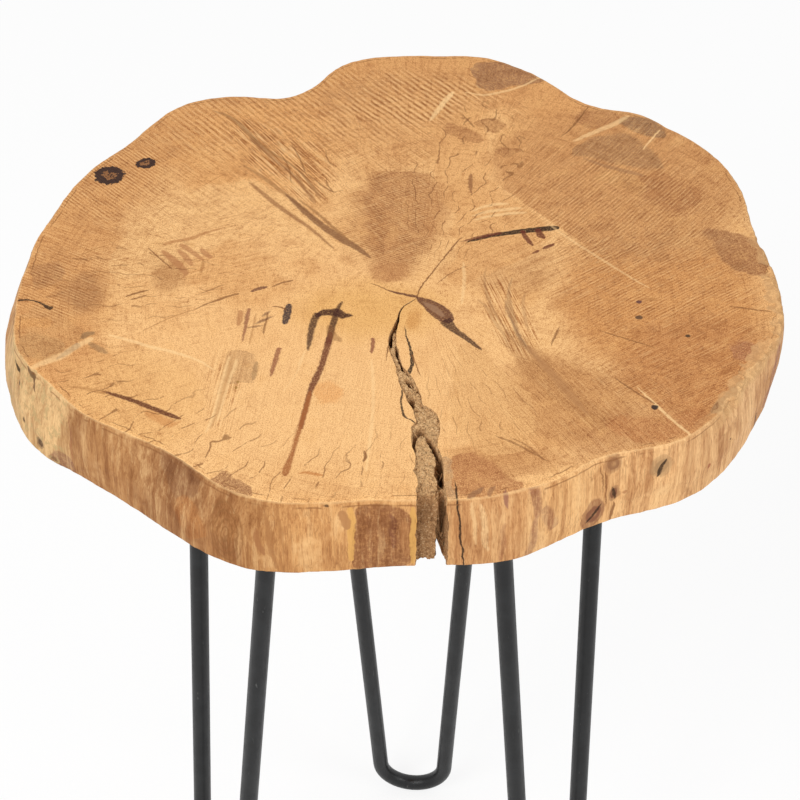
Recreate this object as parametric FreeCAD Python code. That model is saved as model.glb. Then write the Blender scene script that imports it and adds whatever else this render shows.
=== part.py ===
import FreeCAD, Part
import math
import os
from collections import namedtuple

from FreeCAD import Placement, Rotation, Vector

# A small side table: one thick slice of a log, end grain up, on three hairpin legs of round bar.
# Millimetres, +Z up. Everything is drawn about the axis of the circle that the legs stand on.
# At the end it is moved so that the origin lies on the floor under the middle of the tabletop.

# Tabletop
underside_height = 500.0
slab_thickness = 40.0
slab_radius = 184.0
slab_belly = 1.5
arris_height = 1.6
arris_inset = 1.3

# Drying crack, from the pith to the front of the slab
pith_x = 16.0
pith_y = -34.5
crack_run = 146.0
crack_mouth = 14.0
fibre_drop = 3.2
fibre_setback_top = 10.5
fibre_setback_underside = 5.0
slit_depth = 25.0

# Hairpin legs
rod_diameter = 10.0
foot_circle_radius = 120.7
bend_radius = 21.4
arm_spread_angle = 3.06

# Mounting plates
plate_end_margin = 18.0
plate_width = 40.0
plate_thickness = 4.0
plate_corner_radius = 7.0
rod_outboard = 9.0
hole_spacing_long = 52.0
hole_spacing_short = 20.0
hole_clearance = 0.35

# Fillet welds round the ends of the bar
weld_leg = 3.2
weld_height = 3.6
weld_toe = 0.9

# Pan-head wood screws
thread_diameter = 4.8
core_diameter = 3.3
thread_pitch = 2.1
screw_length = 26.0
screw_tip_length = 6.0
plain_shank_length = 4.6
head_diameter = 9.4
head_rim_height = 1.3
head_height = 3.2
recess_width = 5.2
recess_slot = 1.15
recess_depth = 2.0
recess_floor_width = 2.2
crown_share = 0.72
thread_half_root_share = 0.3
thread_sink_share = 0.25
bore_clearance = 0.1
bore_spare_depth = 1.5

# One overrun serves every cut that has to run past a face
overrun = 5.0

# The living edge: azimuth in degrees, then the radius at the top face and at the underside
edge_shares = (
    (3.5, 1.020, 1.045),
    (9, 1.015, 1.030),
    (14, 1.030, 1.045),
    (22, 1.045, 1.055),
    (30, 1.040, 1.045),
    (37, 1.020, 1.025),
    (43, 1.005, 1.010),
    (48, 0.960, 0.980),
    (53, 0.945, 0.960),
    (60, 0.980, 0.985),
    (67, 1.015, 1.020),
    (73, 1.035, 1.030),
    (80, 1.015, 1.015),
    (87.5, 1.000, 1.005),
    (94.5, 0.980, 0.985),
    (99, 0.940, 0.955),
    (103, 0.875, 0.900),
    (108, 0.830, 0.860),
    (113, 0.835, 0.865),
    (118, 0.880, 0.895),
    (123, 0.920, 0.930),
    (130, 0.940, 0.955),
    (137, 0.925, 0.940),
    (144, 0.905, 0.925),
    (152, 0.915, 0.935),
    (163, 0.925, 0.950),
    (170, 0.930, 0.965),
    (176, 0.945, 0.985),
    (182, 0.955, 1.010),
    (187, 0.970, 1.025),
    (192, 0.985, 1.035),
    (197.5, 1.005, 1.040),
    (203, 1.020, 1.045),
    (211, 1.000, 1.045),
    (221, 0.990, 1.000),
    (229, 0.965, 0.985),
    (238, 0.955, 1.000),
    (246, 0.995, 1.025),
    (252, 1.010, 1.035),
    (259, 1.000, 1.015),
    (267, 0.975, 0.985),
    (275, 0.975, 0.975),
    (282, 0.990, 0.990),
    (289, 0.995, 1.000),
    (296, 0.990, 0.985),
    (302, 0.975, 0.980),
    (308, 1.005, 1.005),
    (314, 1.050, 1.045),
    (320, 1.060, 1.065),
    (326, 1.060, 1.070),
    (333, 1.050, 1.065),
    (341, 1.075, 1.065),
    (350, 1.060, 1.070),
    (357, 1.040, 1.080),
)

# Levels of the side from the underside up: share of the way from underside outline to top outline,
# the share of the slab's thickness, and the shares of the arris inset and of the belly there
side_level_shares = (
    (0.0, 0.0, 1.0, 0.0),
    (0.0, None, 0.0, 0.0),
    (0.35, 0.40, 0.0, 1.0),
    (0.80, 0.75, 0.0, 0.7),
    (1.0, None, 0.0, 0.0),
    (1.0, 1.0, 1.0, 0.0),
)

# Walls of the crack: share of the run from the pith to the mouth, share of the mouth beside the pith
left_wall_shares = (
    (0.02, -0.14),
    (0.05, -0.50),
    (0.12, -0.66),
    (0.16, -0.80),
    (0.21, -0.94),
    (0.27, -0.94),
    (0.36, -0.72),
    (0.45, -0.64),
    (0.49, -0.50),
    (0.58, -0.50),
    (0.65, -0.21),
    (0.75, -0.21),
    (0.79, -0.07),
    (0.84, -0.07),
    (0.86, -0.14),
    (0.90, 0.00),
    (0.94, -0.07),
    (1.10, -0.07),
)
right_wall_shares = (
    (0.05, -0.40),
    (0.08, -0.49),
    (0.14, -0.60),
    (0.17, -0.67),
    (0.25, -0.68),
    (0.32, -0.57),
    (0.38, -0.43),
    (0.43, -0.14),
    (0.51, 0.07),
    (0.55, 0.14),
    (0.57, 0.43),
    (0.60, 0.64),
    (0.65, 0.71),
    (0.75, 0.58),
    (0.79, 0.71),
    (0.82, 0.79),
    (0.88, 0.79),
    (0.97, 0.86),
    (1.00, 0.93),
    (1.10, 0.93),
)
# A deep slit winds from the left wall to the right wall, and follows that to the mouth
slit_left_shares = (
    (0.60, -0.42),
    (0.66, -0.14),
    (0.70, 0.00),
    (0.745, 0.26),
    (0.79, 0.47),
    (0.835, 0.50),
    (0.875, 0.58),
    (0.92, 0.54),
    (1.10, 0.54),
)
slit_meets_wall_share = 0.79
slit_right_shares = (
    (0.65, 0.04),
    (0.69, 0.20),
    (0.73, 0.44),
)
# At the mouth the slit is open down to the underside, as a wedge that narrows inwards
mouth_wedge_shares = (
    (0.885, 0.56),
    (1.10, 0.54),
    (1.10, 0.93),
    (1.00, 0.93),
    (0.95, 0.80),
    (0.90, 0.65),
)

Leg = namedtuple("Leg", "name azimuth twist splay lean")

# The legs as they stand, in degrees: where the foot is, the turn of the loop about its own upright,
# how far the foot stands out, and how far the loop leans to its side
legs = (
    Leg("front_left", 209.4, 1.75, 3.90, 0.46),
    Leg("rear", 82.2, -2.3, 5.65, 0.03),
    Leg("front_right", 326.1, 3.7, 3.76, 1.45),
)

top_height = underside_height + slab_thickness
plate_underside = underside_height - plate_thickness
rod_radius = rod_diameter / 2
arm_rise = plate_underside - bend_radius - rod_radius
arm_tangent = math.tan(math.radians(arm_spread_angle))
plate_length = 2 * (bend_radius + arm_rise * arm_tangent + plate_end_margin)


def side_levels():
    """Height, mix, inset and bulge of each level of the slab's side."""
    arris_share = arris_height / slab_thickness
    levels = []
    for mix, height_share, inset_share, belly_share in side_level_shares:
        if height_share is None:
            height_share = 1 - arris_share if mix > 0 else arris_share
        height = underside_height + height_share * slab_thickness
        levels.append((height, mix, inset_share * arris_inset, belly_share * slab_belly))
    return levels


def edge_wire(height, mix, inset, bulge):
    """Closed smooth outline of the living edge at one level."""
    points = []
    for azimuth, top_share, underside_share in edge_shares:
        radius_share = mix * top_share + (1 - mix) * underside_share
        radius = radius_share * slab_radius - inset + bulge
        angle = math.radians(azimuth)
        points.append(Vector(radius * math.cos(angle), radius * math.sin(angle), height))
    curve = Part.BSplineCurve()
    curve.interpolate(Points=points, PeriodicFlag=True)
    return Part.Wire([curve.toShape()])


def crack_point(run_share, side_share):
    """Point in plan at shares of the crack's run and of its mouth, from the pith."""
    return Vector(pith_x + side_share * crack_mouth, pith_y - run_share * crack_run, 0)


def prism(plan_points, bottom, top):
    """Upright prism on a closed outline in plan."""
    outline = [Vector(point.x, point.y, bottom) for point in plan_points]
    face = Part.Face(Part.makePolygon(outline + outline[:1]))
    return face.extrude(Vector(0, 0, top - bottom))


def crack_cuts():
    """The cuts of the crack: the sunken fibre, its set-back front, the slit and the open mouth."""
    left_wall = [crack_point(*shares) for shares in left_wall_shares]
    right_wall = [crack_point(*shares) for shares in right_wall_shares]
    whole_crack = left_wall + right_wall[::-1]
    sunken_fibre = prism(whole_crack, top_height - fibre_drop, top_height + overrun)

    mouth_y = pith_y - crack_run
    far_y = crack_point(*left_wall_shares[-1]).y - overrun
    wedge_x = pith_x - crack_mouth
    wedge = [
        Vector(wedge_x, mouth_y + fibre_setback_top, top_height),
        Vector(wedge_x, mouth_y + fibre_setback_underside, underside_height),
        Vector(wedge_x, far_y, underside_height),
        Vector(wedge_x, far_y, top_height),
    ]
    wedge_face = Part.Face(Part.makePolygon(wedge + wedge[:1]))
    wedge_solid = wedge_face.extrude(Vector(2 * crack_mouth, 0, 0))
    crack_column = prism(whole_crack, underside_height, top_height)
    set_back_front = crack_column.common(wedge_solid)

    slit_left = [crack_point(*shares) for shares in slit_left_shares]
    slit_right = [crack_point(*shares) for shares in slit_right_shares]
    for run_share, side_share in right_wall_shares:
        if run_share >= slit_meets_wall_share:
            slit_right.append(crack_point(run_share, side_share))
    slit = prism(slit_left + slit_right[::-1], top_height - slit_depth, top_height + overrun)
    mouth_plan = [crack_point(*shares) for shares in mouth_wedge_shares]
    mouth = prism(mouth_plan, underside_height - overrun, top_height + overrun)
    return [sunken_fibre, set_back_front, slit, mouth]


def direction(azimuth_degrees):
    """Level unit vector at an azimuth."""
    angle = math.radians(azimuth_degrees)
    return Vector(math.cos(angle), math.sin(angle), 0)


class Hairpin:
    """Centreline of one leg: two arms that spread upwards from a round bend on the floor."""

    def __init__(self, leg):
        splay = math.radians(leg.splay)
        lean = math.radians(leg.lean)
        spread = math.radians(arm_spread_angle)
        up = Vector(0, 0, 1)
        foot_direction = direction(leg.azimuth)
        outward = direction(leg.azimuth - leg.twist)
        sideways = direction(leg.azimuth - leg.twist + 90)
        rise = up * math.cos(splay) - outward * math.sin(splay)
        loop_up = rise * math.cos(lean) + sideways * math.sin(lean)
        loop_side = sideways * math.cos(lean) - rise * math.sin(lean)

        along = bend_radius + rod_radius
        centre = foot_direction * foot_circle_radius - outward * (along * math.sin(splay))
        centre = centre + sideways * (along * math.tan(lean))
        centre.z = bend_radius * math.cos(splay) + rod_radius
        self.bottom = centre - loop_up * bend_radius
        self.tangents = []
        self.arms = []
        for side in (-1, 1):
            arm = loop_up * math.cos(spread) + loop_side * (side * math.sin(spread))
            to_tangent = loop_side * (side * math.cos(spread)) - loop_up * math.sin(spread)
            self.tangents.append(centre + to_tangent * bend_radius)
            self.arms.append(arm)

    def at_height(self, side, height):
        """Point of the centreline of one arm at a height."""
        start = self.tangents[side]
        arm = self.arms[side]
        return start + arm * ((height - start.z) / arm.z)

    def seats(self):
        """Centres of both bar ends on the underside of the plate."""
        return [self.at_height(side, plate_underside) for side in (0, 1)]


def hairpin_rod(hairpin):
    """The bent bar, sawn level where it meets the plate."""
    uncut_height = plate_underside + rod_diameter
    tops = [hairpin.at_height(side, uncut_height) for side in (0, 1)]
    path = Part.Wire([
        Part.LineSegment(tops[0], hairpin.tangents[0]).toShape(),
        Part.Arc(hairpin.tangents[0], hairpin.bottom, hairpin.tangents[1]).toShape(),
        Part.LineSegment(hairpin.tangents[1], tops[1]).toShape(),
    ])
    section = Part.Wire([Part.Circle(tops[0], hairpin.arms[0], rod_radius).toShape()])
    bar = path.makePipeShell([section], True, True)
    reach = foot_circle_radius + plate_length
    waste = Part.makeBox(2 * reach, 2 * reach, 2 * rod_diameter, Vector(-reach, -reach, plate_underside))
    return bar.cut(waste)


def plate_placement(seats):
    """Place of the plate: its long side follows the bar ends, and they sit outboard of its middle."""
    long_way = (seats[1] - seats[0]).normalize()
    outboard = Vector(long_way.y, -long_way.x, 0)
    middle = (seats[0] + seats[1]) * 0.5 - outboard * rod_outboard
    turn = math.degrees(math.atan2(long_way.y, long_way.x))
    return Placement(Vector(middle.x, middle.y, underside_height), Rotation(Vector(0, 0, 1), turn))


def hole_places():
    """Screw holes on the plate: four at the corners of a rectangle and one in the middle."""
    half_long = hole_spacing_long / 2
    half_short = hole_spacing_short / 2
    corners = [Vector(x, y, 0) for x in (-half_long, half_long) for y in (-half_short, half_short)]
    return corners + [Vector(0, 0, 0)]


def mounting_plate():
    """Flat steel plate with rounded corners and five holes; its top face is at height zero."""
    plate = Part.makeBox(plate_length, plate_width, plate_thickness)
    plate.translate(Vector(-plate_length / 2, -plate_width / 2, -plate_thickness))
    upright_edges = [edge for edge in plate.Edges if abs(edge.tangentAt(edge.FirstParameter).z) > 0.9]
    plate = plate.makeFillet(plate_corner_radius, upright_edges)
    for place in hole_places():
        start = place - Vector(0, 0, plate_thickness + overrun)
        drill = Part.makeCylinder(thread_diameter / 2 + hole_clearance, plate_thickness + 2 * overrun, start)
        plate = plate.cut(drill)
    return plate


def weld_bead(seat, arm, rod):
    """Fillet weld between one bar end and the plate: a cone round the bar, with the bar cut out."""
    drop = seat - arm * weld_height
    cone = Part.makeCone(rod_radius + weld_toe, rod_radius + weld_leg, weld_height,
                         Vector(drop.x, drop.y, plate_underside - weld_height))
    return cone.cut(rod)


def cross_recess():
    """Cruciform driver recess, narrowing towards its floor; its mouth is at height zero, facing down."""
    slots = []
    for long_x, long_y in ((recess_width, recess_slot), (recess_slot, recess_width)):
        corner = Vector(-long_x / 2, -long_y / 2, -overrun)
        slots.append(Part.makeBox(long_x, long_y, recess_depth + overrun, corner))
    cross = slots[0].fuse(slots[1])
    slope = (recess_width - recess_floor_width) / (2 * recess_depth)
    mouth_radius = recess_width / 2 + slope * overrun
    taper = Part.makeCone(mouth_radius, recess_floor_width / 2, recess_depth + overrun, Vector(0, 0, -overrun))
    return cross.common(taper)


def wood_screw():
    """Pan-head screw that points up; the seat of its head is at height zero."""
    head_radius = head_diameter / 2
    core_radius = core_diameter / 2
    shank_radius = thread_diameter / 2
    crown_drop = head_rim_height + crown_share * (head_height - head_rim_height)
    crown = Vector(crown_share * head_radius, 0, -crown_drop)
    profile = [
        Part.LineSegment(Vector(0, 0, screw_length), Vector(core_radius, 0, screw_length - screw_tip_length)),
        Part.LineSegment(Vector(core_radius, 0, screw_length - screw_tip_length),
                         Vector(core_radius, 0, plain_shank_length)),
        Part.LineSegment(Vector(core_radius, 0, plain_shank_length), Vector(shank_radius, 0, plain_shank_length)),
        Part.LineSegment(Vector(shank_radius, 0, plain_shank_length), Vector(shank_radius, 0, 0)),
        Part.LineSegment(Vector(shank_radius, 0, 0), Vector(head_radius, 0, 0)),
        Part.LineSegment(Vector(head_radius, 0, 0), Vector(head_radius, 0, -head_rim_height)),
        Part.Arc(Vector(head_radius, 0, -head_rim_height), crown, Vector(0, 0, -head_height)),
        Part.LineSegment(Vector(0, 0, -head_height), Vector(0, 0, screw_length)),
    ]
    outline = Part.Wire([piece.toShape() for piece in profile])
    blank = Part.Face(outline).revolve(Vector(0, 0, 0), Vector(0, 0, 1), 360)
    recess = cross_recess()
    recess.translate(Vector(0, 0, -head_height))
    return blank.cut(recess).fuse(screw_thread()).removeSplitter()


def screw_thread():
    """Coarse thread: a ridge wound round the core from the plain shank to the start of the tip."""
    core_radius = core_diameter / 2
    ridge = (thread_diameter - core_diameter) / 2
    root = core_radius - thread_sink_share * ridge
    length = screw_length - screw_tip_length - plain_shank_length - thread_pitch
    start = plain_shank_length + thread_pitch / 2
    helix = Part.makeHelix(thread_pitch, length, root)
    helix.translate(Vector(0, 0, start))
    half_root = thread_half_root_share * thread_pitch
    section = Part.makePolygon([
        Vector(root, 0, start - half_root),
        Vector(core_radius + ridge, 0, start),
        Vector(root, 0, start + half_root),
        Vector(root, 0, start - half_root),
    ])
    return Part.Wire(helix.Edges).makePipeShell([section], True, True)


def screw_bore():
    """Hole in the wood for one screw, as deep as the screw reaches and a little more."""
    radius = thread_diameter / 2 + bore_clearance
    reach = screw_length - plate_thickness + bore_spare_depth
    straight = reach - screw_tip_length
    bore = Part.makeCylinder(radius, straight + overrun, Vector(0, 0, -overrun))
    point = Part.makeCone(radius, 0, screw_tip_length, Vector(0, 0, straight))
    return bore.fuse(point)


def tabletop(placements):
    """The slab with its crack and the bores for the screws."""
    slab = Part.makeLoft([edge_wire(*level) for level in side_levels()], True, True)
    slab = slab.cut(crack_cuts())
    bores = []
    for placement in placements:
        for place in hole_places():
            bore = screw_bore()
            bore.translate(placement.multVec(place))
            bores.append(bore)
    return slab.cut(bores)


def build():
    """Every node of the table by its name."""
    nodes = {}
    placements = []
    for leg in legs:
        hairpin = Hairpin(leg)
        seats = hairpin.seats()
        placement = plate_placement(seats)
        placements.append(placement)
        rod = hairpin_rod(hairpin)
        nodes[leg.name + "_rod"] = rod
        plate = mounting_plate()
        plate.Placement = placement
        nodes[leg.name + "_plate"] = plate
        for side in (0, 1):
            nodes["%s_weld_%d" % (leg.name, side + 1)] = weld_bead(seats[side], hairpin.arms[side], rod)
        for number, place in enumerate(hole_places(), 1):
            screw = wood_screw()
            screw.translate(placement.multVec(place) - Vector(0, 0, plate_thickness))
            nodes["%s_screw_%d" % (leg.name, number)] = screw
    nodes["tabletop"] = tabletop(placements)
    return nodes


def main():
    """Build the table, put its origin under the middle of the top, and write one file for each node."""
    nodes = build()
    box = nodes["tabletop"].optimalBoundingBox(False, False)
    to_origin = Vector(-box.Center.x, -box.Center.y, 0)
    os.makedirs("parts", exist_ok=True)
    for name, shape in nodes.items():
        shape.translate(to_origin)
        print("%-22s valid %s solids %d volume %.0f" % (name, shape.isValid(), len(shape.Solids), shape.Volume))
        shape.exportStep("parts/%s.step" % name)
    print("legs' circle is at %.3f, %.3f from the origin" % (to_origin.x, to_origin.y))
    print("tabletop %.1f by %.1f" % (box.XLength, box.YLength))


main()
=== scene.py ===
import itertools
import logging
import math
from dataclasses import dataclass, field
from enum import Enum
from typing import Callable, Sequence, Union

import bmesh
import bpy
import numpy as np
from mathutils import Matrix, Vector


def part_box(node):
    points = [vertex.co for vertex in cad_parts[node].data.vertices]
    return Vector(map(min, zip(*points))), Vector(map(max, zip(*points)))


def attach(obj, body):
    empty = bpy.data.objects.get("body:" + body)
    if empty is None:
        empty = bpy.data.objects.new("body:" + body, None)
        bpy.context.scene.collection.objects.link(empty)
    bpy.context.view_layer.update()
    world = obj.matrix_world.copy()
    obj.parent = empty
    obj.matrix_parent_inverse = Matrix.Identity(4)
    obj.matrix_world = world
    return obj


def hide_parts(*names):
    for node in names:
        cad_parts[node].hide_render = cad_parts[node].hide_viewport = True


# A place where a shader's node takes or gives a value
Socket = bpy.types.NodeSocket

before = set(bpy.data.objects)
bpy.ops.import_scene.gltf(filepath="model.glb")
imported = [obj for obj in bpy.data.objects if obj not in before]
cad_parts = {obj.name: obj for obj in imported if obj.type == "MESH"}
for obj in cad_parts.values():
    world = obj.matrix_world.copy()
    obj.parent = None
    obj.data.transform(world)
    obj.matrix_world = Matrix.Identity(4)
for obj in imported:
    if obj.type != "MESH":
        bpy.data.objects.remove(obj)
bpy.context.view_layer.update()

log = logging.getLogger("log_slice_table")

# Tables and sizes below are in millimetres. Plan coordinates are about the axis of the circle that the
# legs stand on, +X to the right and +Y to the back, as the table is seen from the crack's side.
MM = 0.001

PITH = np.array([16.0, -34.5])
SLAB_RADIUS = 184.0

# The living edge: azimuth in degrees, then the radius at the top face and at the underside
EDGE_SHARES = (
    (3.5, 1.020, 1.045), (9, 1.015, 1.030), (14, 1.030, 1.045), (22, 1.045, 1.055),
    (30, 1.040, 1.045), (37, 1.020, 1.025), (43, 1.005, 1.010), (48, 0.960, 0.980),
    (53, 0.945, 0.960), (60, 0.980, 0.985), (67, 1.015, 1.020), (73, 1.035, 1.030),
    (80, 1.015, 1.015), (87.5, 1.000, 1.005), (94.5, 0.980, 0.985), (99, 0.940, 0.955),
    (103, 0.875, 0.900), (108, 0.830, 0.860), (113, 0.835, 0.865), (118, 0.880, 0.895),
    (123, 0.920, 0.930), (130, 0.940, 0.955), (137, 0.925, 0.940), (144, 0.905, 0.925),
    (152, 0.915, 0.935), (163, 0.925, 0.950), (170, 0.930, 0.965), (176, 0.945, 0.985),
    (182, 0.955, 1.010), (187, 0.970, 1.025), (192, 0.985, 1.035), (197.5, 1.005, 1.040),
    (203, 1.020, 1.045), (211, 1.000, 1.045), (221, 0.990, 1.000), (229, 0.965, 0.985),
    (238, 0.955, 1.000), (246, 0.995, 1.025), (252, 1.010, 1.035), (259, 1.000, 1.015),
    (267, 0.975, 0.985), (275, 0.975, 0.975), (282, 0.990, 0.990), (289, 0.995, 1.000),
    (296, 0.990, 0.985), (302, 0.975, 0.980), (308, 1.005, 1.005), (314, 1.050, 1.045),
    (320, 1.060, 1.065), (326, 1.060, 1.070), (333, 1.050, 1.065), (341, 1.075, 1.065),
    (350, 1.060, 1.070), (357, 1.040, 1.080),
)

# Levels of the side from the underside up: share of the way from the underside's outline to the top's,
# share of the thickness, and how far the side swells there
SIDE_LEVELS = ((0.0, 0.0, 0.0), (0.0, 0.04, 0.0), (0.35, 0.40, 1.5), (0.80, 0.75, 1.05), (1.0, 0.96, 0.0),
               (1.0, 1.0, 0.0))

# Walls of the drying crack in plan, from the pith to the mouth
LEFT_WALL = (
    (14.2, -36.6), (12.2, -38.2), (9.4, -41.0), (7.6, -44.8), (6.6, -50.5), (4.8, -56.5), (2.9, -63.5),
    (2.7, -72.5), (3.8, -79.0), (6.0, -86.0), (6.2, -93.0), (7.4, -100.0), (9.8, -105.0), (11.0, -112.5),
    (13.8, -117.5), (15.2, -125.5), (13.0, -128.8), (13.2, -143.5), (15.0, -149.0), (14.6, -156.0),
    (13.8, -160.0), (16.0, -166.0), (15.0, -171.0), (15.0, -182.0),
)
RIGHT_WALL = (
    (14.6, -36.9), (12.6, -38.7), (10.0, -41.4), (8.4, -45.2), (7.6, -52.5), (6.6, -58.0), (6.4, -71.0),
    (8.0, -81.0), (10.4, -89.5), (12.6, -91.5), (14.4, -97.0), (16.4, -103.0), (17.4, -108.0),
    (18.4, -114.5), (22.0, -117.0), (25.2, -122.0), (26.4, -129.0), (25.2, -137.0), (24.4, -143.0),
    (26.4, -150.0), (27.2, -154.0), (27.0, -169.0), (28.2, -175.0), (29.0, -180.0), (29.0, -182.0),
)
# Left side of the slit that stays open between the torn fibre and the right wall
SLIT_EDGE = ((24.2, -149.0), (24.0, -152.0), (23.2, -159.0), (24.8, -164.5), (24.2, -169.0), (23.8, -182.0))


def smooth(values: np.ndarray, low: float, high: float) -> np.ndarray:
    """Ease from 0 at `low` to 1 at `high` along 3t² − 2t³.

    Args:
        values: numbers to ease.
        low: where the result leaves 0; it may be above `high`.
        high: where the result reaches 1.

    Returns:
        Array of the same shape, within 0 to 1.
    """
    part = np.clip((np.asarray(values, float) - low) / (high - low), 0.0, 1.0)
    return part * part * (3.0 - 2.0 * part)


def lattice_noise(points: np.ndarray, seed: int) -> np.ndarray:
    """Smooth noise: a random number on each whole-number lattice point, blended by 6t⁵ − 15t⁴ + 10t³.

    Args:
        points: array of shape (..., 3).
        seed: picks one of many unlike patterns.

    Returns:
        Array of shape (...), within −1 to 1.
    """
    cell = np.floor(points).astype(np.int64)
    part = points - cell
    ease = part * part * part * (part * (part * 6.0 - 15.0) + 10.0)
    total = np.zeros(points.shape[:-1])
    mask = np.int64(0xFFFFFFFF)
    for corner in itertools.product((0, 1), repeat=3):
        at = cell + np.array(corner)
        # Products with large odd numbers, whose bits are then mixed into each other, look random
        mixed = (at[..., 0] * 374761393 + at[..., 1] * 668265263
                 + at[..., 2] * 1103515245 + seed * 69069) & mask
        mixed = ((mixed ^ (mixed >> 13)) * 1274126177) & mask
        mixed = (mixed ^ (mixed >> 16)) & mask
        weight = np.ones(points.shape[:-1])
        for axis, side in enumerate(corner):
            weight = weight * (ease[..., axis] if side else 1.0 - ease[..., axis])
        total += weight * (mixed / 2147483647.5 - 1.0)
    return total


def rough(points: np.ndarray, sizes: Sequence[float], octaves: int = 3, seed: int = 0) -> np.ndarray:
    """Fractal noise: octaves of lattice noise, each half as wide and half as strong as the one before.

    Args:
        points: array of shape (..., 3), in millimetres.
        sizes: width of the largest lumps along X, Y and Z.
        octaves: how many octaves are added.
        seed: picks the pattern.

    Returns:
        Array of shape (...), mostly within −1 to 1.
    """
    scaled = points / np.asarray(sizes, float)
    total = np.zeros(points.shape[:-1])
    strength = 0.0
    for octave in range(octaves):
        total += lattice_noise(scaled * 2.0 ** octave + 17.3 * octave, seed + octave) * 0.5 ** octave
        strength += 0.5 ** octave
    return total / strength * 1.4


def stacked(*parts: np.ndarray) -> np.ndarray:
    """Coordinates put together as an array whose last axis is X, Y, Z."""
    return np.stack(np.broadcast_arrays(*parts), axis=-1)


def along(points: Sequence[Sequence[float]], values: np.ndarray) -> np.ndarray:
    """X of a line of plan points at given Y, straight between the points; the line runs towards −Y."""
    table = np.array(points, float)
    return np.interp(-np.asarray(values, float), -table[:, 1], table[:, 0])


def distance_to_line(x: np.ndarray, y: np.ndarray, points: Sequence[Sequence[float]]) -> np.ndarray:
    """Shortest distance in plan to a line of straight runs.

    Args:
        x, y: plan coordinates.
        points: ends of the runs.

    Returns:
        Array of distances.
    """
    nearest = np.full(np.broadcast(x, y).shape, np.inf)
    table = np.array(points, float)
    for start, end in zip(table[:-1], table[1:]):
        run = end - start
        share = ((x - start[0]) * run[0] + (y - start[1]) * run[1]) / (run @ run)
        share = np.clip(share, 0.0, 1.0)
        gap = np.hypot(x - start[0] - share * run[0], y - start[1] - share * run[1])
        nearest = np.minimum(nearest, gap)
    return nearest


class LivingEdge:
    """Outline of the slab at any height, as its radius about the pith.

    At each level the outline is the smooth closed curve through the points of EDGE_SHARES: a cubic
    spline whose pieces are measured by the distance between their ends. Between two levels the
    side is straight, and a level's bulge is added to its radii.
    """

    SAMPLES_PER_SPAN = 40
    # How many parts a full turn is divided into where the radii are worked out
    TURN_STEPS = 2880

    def __init__(self, thickness: float) -> None:
        """Works the levels out.

        Args:
            thickness: the slab's thickness.
        """
        self.heights = np.array([share * thickness for _, share, _ in SIDE_LEVELS])
        self.bearings = np.linspace(0.0, 2.0 * math.pi, self.TURN_STEPS + 1)
        self.radii = np.array([self._level(mix, bulge) for mix, _, bulge in SIDE_LEVELS])
        everywhere = self._corners()
        self.middle = (everywhere.min(0) + everywhere.max(0)) / 2.0
        radius = self.radius(self.bearings, np.array(thickness / 2.0))
        steps = np.hypot(np.diff(radius * np.sin(self.bearings)), np.diff(radius * np.cos(self.bearings)))
        self.runs = np.concatenate([[0.0], np.cumsum(steps)])

    def _curve(self, mix: float, bulge: float) -> np.ndarray:
        """Plan points of one level's closed spline; `mix` goes from 0, underside, to 1, top."""
        table = np.array(EDGE_SHARES)
        radius = (mix * table[:, 1] + (1.0 - mix) * table[:, 2]) * SLAB_RADIUS + bulge
        angle = np.radians(table[:, 0])
        knots = np.stack([radius * np.cos(angle), radius * np.sin(angle)], axis=1)
        count = len(knots)
        following = np.roll(knots, -1, axis=0)
        span = np.linalg.norm(following - knots, axis=1)
        before = np.roll(span, 1)
        system = np.zeros((count, count))
        rows = np.arange(count)
        system[rows, (rows - 1) % count] = before
        system[rows, rows] = 2.0 * (before + span)
        system[rows, (rows + 1) % count] = span
        slope = (following - knots) / span[:, None]
        bend = np.linalg.solve(system, 6.0 * (slope - np.roll(slope, 1, axis=0)))
        next_bend = np.roll(bend, -1, axis=0)
        share = np.linspace(0.0, 1.0, self.SAMPLES_PER_SPAN, endpoint=False)[None, :, None]
        rest = 1.0 - share
        width = span[:, None, None]
        points = rest * knots[:, None] + share * following[:, None]
        points = points + width ** 2 / 6.0 * ((rest ** 3 - rest) * bend[:, None]
                                             + (share ** 3 - share) * next_bend[:, None])
        return points.reshape(-1, 2)

    def _corners(self) -> np.ndarray:
        """Plan points of the outlines at every level."""
        return np.concatenate([self._curve(mix, bulge) for mix, _, bulge in SIDE_LEVELS])

    def _level(self, mix: float, bulge: float) -> np.ndarray:
        """Radius about the pith at each of the bearings, for one level."""
        offset = self._curve(mix, bulge) - PITH
        bearing = np.mod(np.arctan2(-offset[:, 0], -offset[:, 1]), 2.0 * math.pi)
        order = np.argsort(bearing)
        return np.interp(self.bearings, bearing[order], np.hypot(*offset[order].T), period=2.0 * math.pi)

    def radius(self, bearing: np.ndarray, height: np.ndarray) -> np.ndarray:
        """Radius about the pith.

        Args:
            bearing: angle clockwise from −Y, in radians.
            height: height above the underside.

        Returns:
            Radii, straight between the levels.
        """
        bearing, height = np.broadcast_arrays(np.mod(bearing, 2.0 * math.pi), height)
        place = np.interp(height, self.heights, np.arange(len(self.heights)))
        low = np.clip(np.floor(place).astype(int), 0, len(self.heights) - 2)
        share = place - low
        by_level = np.array([np.interp(bearing, self.bearings, radii) for radii in self.radii])
        below = np.take_along_axis(by_level, low[None], axis=0)[0]
        above = np.take_along_axis(by_level, low[None] + 1, axis=0)[0]
        return below * (1.0 - share) + above * share

    def run(self, bearing: np.ndarray) -> np.ndarray:
        """Distance along the edge at half height, clockwise from the crack's side, at a bearing."""
        return np.interp(np.mod(bearing, 2.0 * math.pi), self.bearings, self.runs)


@dataclass(frozen=True)
class Sheet:
    """One four-sided part of a surface: a grid of points, its material's number and its values."""

    points: np.ndarray
    material: int = 0
    values: dict = field(default_factory=dict)


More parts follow.
